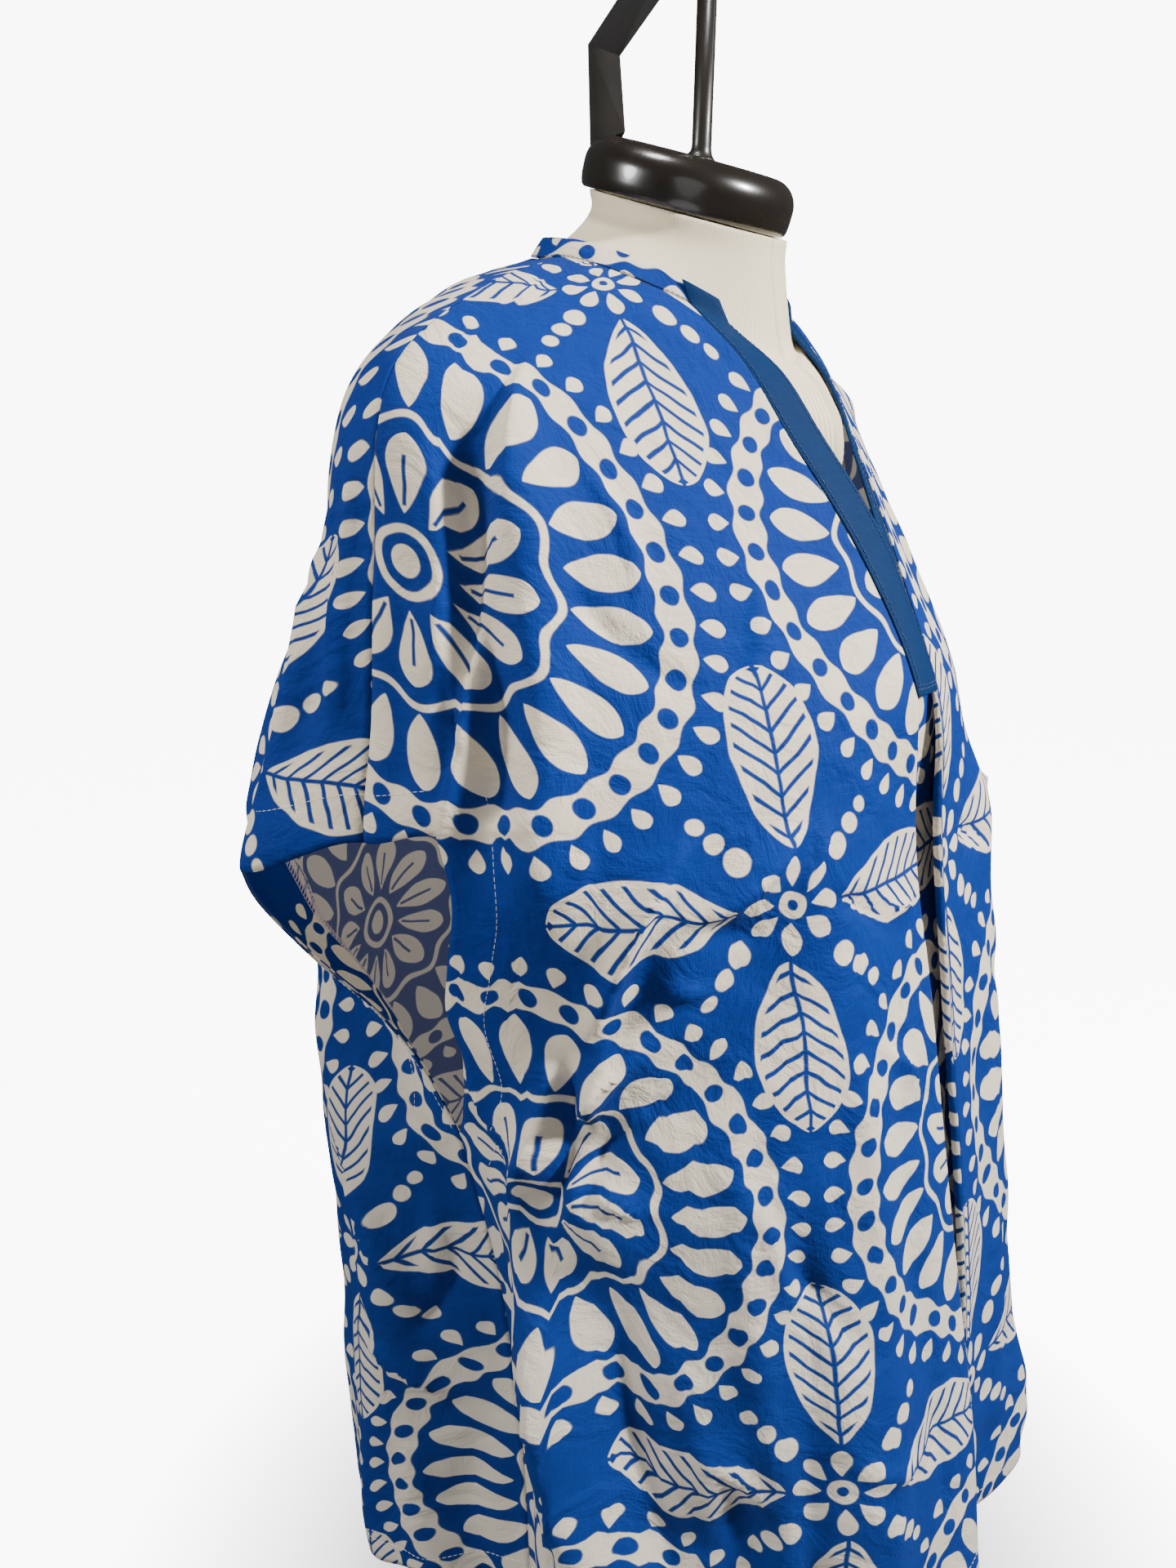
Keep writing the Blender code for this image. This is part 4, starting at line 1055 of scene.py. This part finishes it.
# dark stitches: neck seam, outer edges of the V bands and across their foot
places = np.linspace(neckbandSettings["end"] + 1, neckRun[-1] - neckbandSettings["end"] - 1, 240)
darkRuns = [[(neckPoint(p, stitchSettings["neckHeight"], stitchSettings["neckClear"]), np.array([0, 0, 1.0]))
             for p in places]]
for grid in (bandRightGrid, bandLeftGrid):
    normals = gridNormals(grid)
    top = grid + normals * stitchSettings["bandClear"]
    for column in (1, bandSettings["columns"] - 2):
        darkRuns.append([(top[i, column], normals[i, column]) for i in range(len(riseShares), len(grid))])
    foot = list(zip(top[-2], normals[-2]))
    darkRuns += [foot, [(p + [0, 0, stitchSettings["bandFootGap"]], n) for p, n in foot]]
darkStitches = stitchMesh("darkStitches", darkRuns, "blueThread", length=2.2, gap=0.8, thick=0.4)
hemStitches = stitchMesh("hemStitches", lightRuns, "whiteThread")
print("hem stitches made:", len(hemStitches.data.polygons))


# Sleeve hems turned to the inside, with their overlocked edges

turnSettings = {"width": 25, "columns": 7, "under": 1.5, "wall": 0.7, "flatStart": 130,
                "overlockPitch": 2.6, "overlockEdges": (22.6, 28.4), "overlockUnder": 2.4}


def turnedHem(panel, side):
    t = turnSettings
    lines = [hemPath(panel, inset) for inset in np.linspace(0.6, t["width"], t["columns"])]
    count = min(len(line) for line in lines)
    places = [[line[round(k * (len(line) - 1) / (count - 1))] for k in range(count)] for line in lines]
    grid = np.array([[p for p, n in clothRun(panel, side, line, -t["under"])] for line in places])
    flat = np.array([[(side * (2 * w + t["flatStart"]), r) for w, r in line] for line in places])
    return grid, flat


def makeTurnedHem(name, side):
    points, uv, faces = [], [], []
    for panel in ("front", "back"):
        grid, flat = turnedHem(panel, side)
        faces += gridFaces(len(grid), grid.shape[1], len(points), (side > 0) != (panel == "back"))
        points += list(grid.reshape(-1, 3))
        uv += list(flat.reshape(-1, 2))
    piece = newPiece(name, points, faces, [finish["printTurned"]], uv)
    thicken(piece, turnSettings["wall"])
    return piece


turnedHems = [makeTurnedHem("sleeveTurnRight", -1), makeTurnedHem("sleeveTurnLeft", 1)]


def overlockPairs(panel, side):
    # places of the zigzag over the raw edge: inner and outer point, and the way up
    t = turnSettings
    inner, outer = (clothRun(panel, side, hemPath(panel, inset), -t["overlockUnder"])
                    for inset in t["overlockEdges"])
    lineA, lineB = np.array([p for p, n in inner]), np.array([p for p, n in outer])
    ups = np.array([n for p, n in inner])
    runA, runB = runAlong(lineA), runAlong(lineB)
    pitch = t["overlockPitch"] / runA[-1]
    return [(pointAlong(s * runA[-1], runA, lineA), pointAlong((s + 0.3 * pitch) * runB[-1], runB, lineB),
             pointAlong(s * runA[-1], runA, ups)) for s in np.arange(0, 1, pitch)]


def makeOverlock():
    points, faces = [], []
    for panel, side in halves:
        pairs = overlockPairs(panel, side)
        for (a, b, up), (a2, _, _) in zip(pairs, pairs[1:]):
            for start, end, thick in ((a, b, 0.42), (b, a2, 0.36), (a, a2, 0.36)):
                addBar(points, faces, start, end, -up, thick)
    piece = newPiece("sleeveOverlock", points, faces, [finish["roseThread"]])
    return piece


sleeveOverlock = makeOverlock()
print("turned sleeve hems and overlock made:", len(sleeveOverlock.data.polygons))


# Neck cap, handle, form, pole and base

standSettings = {"capRadius": 59, "capTop": 14, "capFoot": -13, "capTilt": 17, "capY": -17, "capRound": 14,
                 "capFlat": 22}
capTurn = radians(standSettings["capTilt"])


def darkFinish(name, roughness, coat):
    made, shader, uv = newMaterial(name)
    place = uv.other("Object")
    cloud, speck = place.noise(45.0, 4.0), place.noise(420.0, 2.0)
    feed(shader, {"Base Color": mixColour(cloud, (0.009, 0.0072, 0.0052, 1), (0.017, 0.0135, 0.010, 1)),
                  "Roughness": roughness + cloud * 0.1, "Coat Weight": coat, "Coat Roughness": 0.12,
                  "Normal": speck.bump(0.08, 0.0004)})
    return made


def knitFinish(name, dark, pale, ribStep):
    made, shader, uv = newMaterial(name)
    u, v = uv.parts()
    rib = ((u + uv.noise(12.0, 2.0) * 0.0008) * (2 * pi / ribStep)).math("SINE") * 0.5 + 0.5
    fuzz, cloud = threads(uv, 1400, 300, 3.0), uv.noise(16.0, 4.0)
    # painted shade: the rib's grooves are darker in colour and its ridges paler, in step with the bump
    tone = (rib * 0.65 + fuzz * 0.35 + cloud * 0.25).clamped()
    feed(shader, {"Base Color": mixColour(tone, dark, pale), "Roughness": 0.88, "Sheen Weight": 0.15,
                  "Specular IOR Level": 0.2,
                  "Normal": (rib * 0.6 + fuzz * 0.6 + cloud * 2.0).bump(0.45, 0.0010)})
    return made


finish["cap"] = darkFinish("capGloss", 0.22, 0.5)
finish["metal"] = darkFinish("paintedMetal", 0.34, 0.2)
finish["knit"] = knitFinish("creamRibbedKnit", (0.78, 0.63, 0.39, 1), (1.0, 0.89, 0.64, 1), 0.0023)


def formRing(inset, reach, count):
    shares = np.linspace(0, 1, count // 4 + 1)
    quarter = {}
    for panel in ("front", "back"):
        points, length = ringAt(panel, reach, inset)
        quarter[panel] = pointAlong(shares * length[-1], length, points)
    mirror = np.array([-1, 1, 1])
    front, back = quarter["front"], quarter["back"]
    return np.concatenate([front[:-1], back[::-1][:-1], back[:-1] * mirror, front[::-1][:-1] * mirror])


def ovalRing(sideX, frontY, backY, drop, count, tilt=0.0):
    a = 2 * pi * np.arange(count) / count
    middle, deep = 0.5 * (frontY + backY), 0.5 * (backY - frontY)
    y = middle - deep * np.cos(a)
    return np.stack([sideX * np.sin(a), y, -drop + tilt * (y - middle)], axis=-1)


formSettings = {"count": 160, "steps": 7, "neckRadius": 54.6, "neckClear": 0.6, "inset": 1.9,
                "tipReach": 130, "tipInset": 9, "reaches": (6, 28, 52, 78, 104), "ribWidth": 110,
                "drops": (200, 240, 300, 350, 400, 440, 480, 530, 580, 630, 680, 715, 740)}
formNames = ("drop", "sideX", "frontY", "backY")
formRows = ((200, 168, -104, 96), (300, 152, -118, 100), (400, 134, -112, 94), (480, 126, -102, 88),
            (580, 140, -106, 102), (680, 148, -110, 112), (740, 144, -106, 108))


def makeForm():
    f, s, n = formSettings, standSettings, formSettings["count"]
    radius, tilt = f["neckRadius"], tan(capTurn)
    under = (f["neckClear"] - s["capFoot"]) / cos(capTurn)
    front, back = s["capY"] - radius, s["capY"] + radius
    keys = [ovalRing(radius, front, back, under, n, tilt),
            ovalRing(radius - 0.5, front, back + 2, under + 14, n, tilt)]
    keys += [formRing(f["inset"], reach, n) for reach in f["reaches"]]
    keys.append(formRing(f["tipInset"], f["tipReach"], n))
    curves = tableCurves(formNames, formRows)
    for drop in f["drops"]:
        keys.append(ovalRing(*(curves[name](drop) for name in formNames[1:]), drop, n))
    padded = [2 * keys[0] - keys[1]] + keys + [2 * keys[-1] - keys[-2]]
    grid = []
    for a, b, c, d in zip(padded, padded[1:], padded[2:], padded[3:]):
        for t in np.arange(f["steps"]) / f["steps"]:      # smooth run through the sections
            grid.append(0.5 * (2 * b + (c - a) * t + (2 * a - 5 * b + 4 * c - d) * t * t
                               + (3 * b - a - 3 * c + d) * t ** 3))
    grid = np.array(grid + [keys[-1]])
    around = np.arange(n) / n * 2 * pi * f["ribWidth"]
    down = np.concatenate([[0], np.cumsum(np.linalg.norm(np.diff(grid, axis=0), axis=2).mean(axis=1))])
    piece = newPiece("formTorso", grid.reshape(-1, 3), tubeFaces(len(grid), n, flip=True),
                     [finish["knit"]], flatPlaces(around[None, :], down[:, None]))
    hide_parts("form_torso")


makeForm()
print("form made")


def makeCap():
    s, n = standSettings, 128
    profile = [(0, s["capTop"]), (s["capFlat"], s["capTop"])]
    for k in range(13):
        a = pi / 2 * (1 - k / 12)
        profile.append((s["capRadius"] - s["capRound"] * (1 - cos(a)),
                        s["capTop"] - s["capRound"] * (1 - sin(a))))
    profile += [(s["capRadius"] - inward, height) for inward, height in
                ((0, -6), (0.4, -9.5), (1.1, -11.8), (2.4, s["capFoot"]), (s["capRadius"], s["capFoot"]))]
    points, faces, m = [], [], len(profile)
    for k in range(n):
        a = 2 * pi * k / n
        for r, h in profile:
            y = r * sin(a)
            points.append((r * cos(a), s["capY"] + y * cos(capTurn) - h * sin(capTurn),
                           y * sin(capTurn) + h * cos(capTurn)))
        for i in range(m - 1):
            a, b = k * m + i, ((k + 1) % n) * m + i
            faces.append((a, a + 1, b + 1, b))
    piece = newPiece("neckCap", points, faces, [finish["cap"]])
    weld = piece.modifiers.new("weld", "WELD")
    weld.merge_threshold = 0.00002
    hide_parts("neck_cap")


makeCap()
for node in ("pole", "base"):
    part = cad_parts[node]
    part.data.materials.clear()
    part.data.materials.append(finish["metal"])
    part.data.shade_smooth()
    part.data.set_sharp_from_angle(angle=radians(35))

rodSettings = {"sides": 28, "radius": 5.2, "footRadius": 8.2, "clear": 0.25, "footY": -35, "topY": -36.5,
               "search": 0.006,
               "flare": ((0, 1.0), (0.7, 0.62), (1.8, 0.3), (3.4, 0.08), (6.0, 0.0))}


def makeRod():
    # the round rod: its flared foot seated on the cap, its top cut to the slope of the bar
    s, r = standSettings, rodSettings
    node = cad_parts["handle_rod"]
    corners = np.array([node.matrix_world @ Vector(c) for c in node.bound_box]) * 1000
    middleX, top = corners[:, 0].mean(), corners[:, 2].max() - whole["capRim"]
    points, n = [], r["sides"]
    turns = [2 * pi * k / n for k in range(n)]
    for up, spread in r["flare"]:
        radius = r["radius"] + (r["footRadius"] - r["radius"]) * spread
        for a in turns:
            y = r["footY"] + radius * sin(a)
            seat = s["capTop"] / cos(capTurn) + tan(capTurn) * (y - s["capY"])
            points.append((middleX + radius * cos(a), y, seat + r["clear"] + up))
    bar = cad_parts["handle_bar"]
    under = BVHTree.FromPolygons([bar.matrix_world @ v.co for v in bar.data.vertices],
                                 [tuple(f.vertices) for f in bar.data.polygons])
    for a in turns:
        x, y, z = middleX + r["radius"] * cos(a), r["topY"] + r["radius"] * sin(a), top
        hit = under.ray_cast(Vector(toWorld((x, y, z))) - Vector((0, 0, r["search"])), Vector((0, 0, 1)))[0]
        if hit:
            z = hit.z * 1000 - whole["capRim"] - r["clear"]
        points.append((x, y, z))
    piece = newPiece("handleRod", points, tubeFaces(len(points) // n, n), [finish["metal"]])
    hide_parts("handle_rod")


makeRod()


def capHeight(x, y):
    # height of the cap's glossy surface at a place, found from the top down
    s = standSettings
    flat = s["capRadius"] - s["capRound"]
    for z in np.arange(40, -12, -0.2):
        along = (y - s["capY"]) * cos(capTurn) + z * sin(capTurn)
        up = z * cos(capTurn) - (y - s["capY"]) * sin(capTurn)
        out = max(0.0, hypot(x, along) - flat)
        if out < s["capRound"] and up <= s["capTop"] - s["capRound"] + (s["capRound"] ** 2 - out ** 2) ** 0.5:
            return z
    return -12


barSettings = {"clear": 0.3, "footBand": 1.5}


def makeBar():
    # the square bar, its foot cut to the round of the cap
    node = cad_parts["handle_bar"]
    points = np.array([node.matrix_world @ v.co for v in node.data.vertices]) * 1000
    points -= [0, whole["poleY"], whole["capRim"]]
    foot = points[:, 2] < points[:, 2].min() + barSettings["footBand"]
    for k in np.flatnonzero(foot):
        points[k, 2] = capHeight(points[k, 0], points[k, 1]) + barSettings["clear"]
    piece = newPiece("handleBar", points, [tuple(f.vertices) for f in node.data.polygons], [finish["metal"]])
    for face in piece.data.polygons:
        face.use_smooth = False
    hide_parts("handle_bar")


makeBar()
print("stand and cap made")


# Floor, light and camera

stageSettings = {"radius": 14.0, "height": 16.0, "footShadeFrom": 0.12, "footShadeTo": 0.46, "white": 9.0,
                 "sky": 0.07, "sides": 64}
cameraSettings = {"turn": 52, "down": 17, "lens": 27.02, "place": (-0.597, -0.413, 0.875)}
lights = {                 # place, aim, size, power
    "key": ((0.55, -2.2, 2.1), (0, 0, 0.72), 0.35, 175),
    "fillLeft": ((-2.3, 1.3, 1.6), (0, 0, 0.7), 0.7, 58),
    "camera": ((-1.7, -1.2, 1.0), (0, 0, 0.7), 1.2, 4),
    "top": ((-0.5, 0.1, 2.9), (0, 0, 0.8), 0.5, 30),
    "bounce": ((-1.0, -0.45, 0.16), (-0.1, 0.06, 0.66), 0.8, 2.4),
}


def stagePiece(name, points, faces, made):
    # the floor and backdrop are seen, and throw no light of their own on the garment
    mesh = bpy.data.meshes.new(name)
    mesh.from_pydata(points, [], faces)
    mesh.materials.append(made)
    piece = bpy.data.objects.new(name, mesh)
    bpy.context.scene.collection.objects.link(piece)
    piece.visible_diffuse = piece.visible_glossy = piece.visible_transmission = False
    return piece


def makeStage():
    s, n = stageSettings, stageSettings["sides"]
    rim = [(s["radius"] * cos(2 * pi * k / n), s["radius"] * sin(2 * pi * k / n)) for k in range(n)]
    made, shader, uv = newMaterial("paleFloor")
    # painted shade: the floor's white glow fades out towards the stand, leaving a grey disc round its foot
    away = uv.make("ShaderNodeVectorMath", {"operation": "LENGTH"}, {0: uv.other("Object")}, 1)
    clear = ((away - s["footShadeFrom"]) / (s["footShadeTo"] - s["footShadeFrom"])).clamped()
    feed(shader, {"Base Color": (0.86, 0.86, 0.86, 1), "Roughness": 0.9, "Emission Strength": s["white"],
                  "Emission Color": mixColour(clear * clear, (0, 0, 0, 1), (1, 1, 1, 1))})
    stagePiece("floor", [(x, y, 0) for x, y in rim], [tuple(range(n))], made)
    made, shader, uv = newMaterial("whiteBackdrop")
    feed(shader, {"Base Color": (0.9, 0.9, 0.9, 1), "Emission Color": (1, 1, 1, 1),
                  "Emission Strength": s["white"]})
    backdrop = stagePiece("backdrop", [(x * 0.98, y * 0.98, h) for h in (-0.1, s["height"]) for x, y in rim],
                          [(k, (k + 1) % n, n + (k + 1) % n, n + k) for k in range(n)], made)
    backdrop.visible_shadow = False
    world = bpy.data.worlds.new("studio")
    bpy.context.scene.world = world
    world.use_nodes = True
    sky = world.node_tree.nodes["Background"]
    sky.inputs["Color"].default_value = (1, 1, 1, 1)
    sky.inputs["Strength"].default_value = s["sky"]


def areaLight(name, place, target, size, power):
    data = bpy.data.lights.new(name, "AREA")
    data.shape, data.size, data.energy = "DISK", size, power
    lamp = bpy.data.objects.new(name, data)
    bpy.context.scene.collection.objects.link(lamp)
    lamp.location = place
    lamp.rotation_euler = (Vector(target) - Vector(place)).to_track_quat("-Z", "Y").to_euler()


def makeCamera():
    c = cameraSettings
    turn, down = radians(c["turn"]), radians(c["down"])
    look = Vector((sin(turn) * cos(down), cos(turn) * cos(down), -sin(down)))
    right = Vector((cos(turn), -sin(turn), 0))
    up = right.cross(look)
    data = bpy.data.cameras.new("camera")
    data.lens, data.clip_start, data.clip_end = c["lens"], 0.02, 100
    camera = bpy.data.objects.new("camera", data)
    bpy.context.scene.collection.objects.link(camera)
    spot = Vector(c["place"]) + Vector((0, whole["poleY"] * 0.001, 0))
    axes = Matrix([[right[k], up[k], -look[k]] for k in range(3)]).to_4x4()
    camera.matrix_world = Matrix.Translation(spot) @ axes
    bpy.context.scene.camera = camera


makeStage()
for name, (place, aim, size, power) in lights.items():
    areaLight(name, place, aim, size, power)
makeCamera()
print("stage, lights and camera set")

bpy.context.view_layer.update()
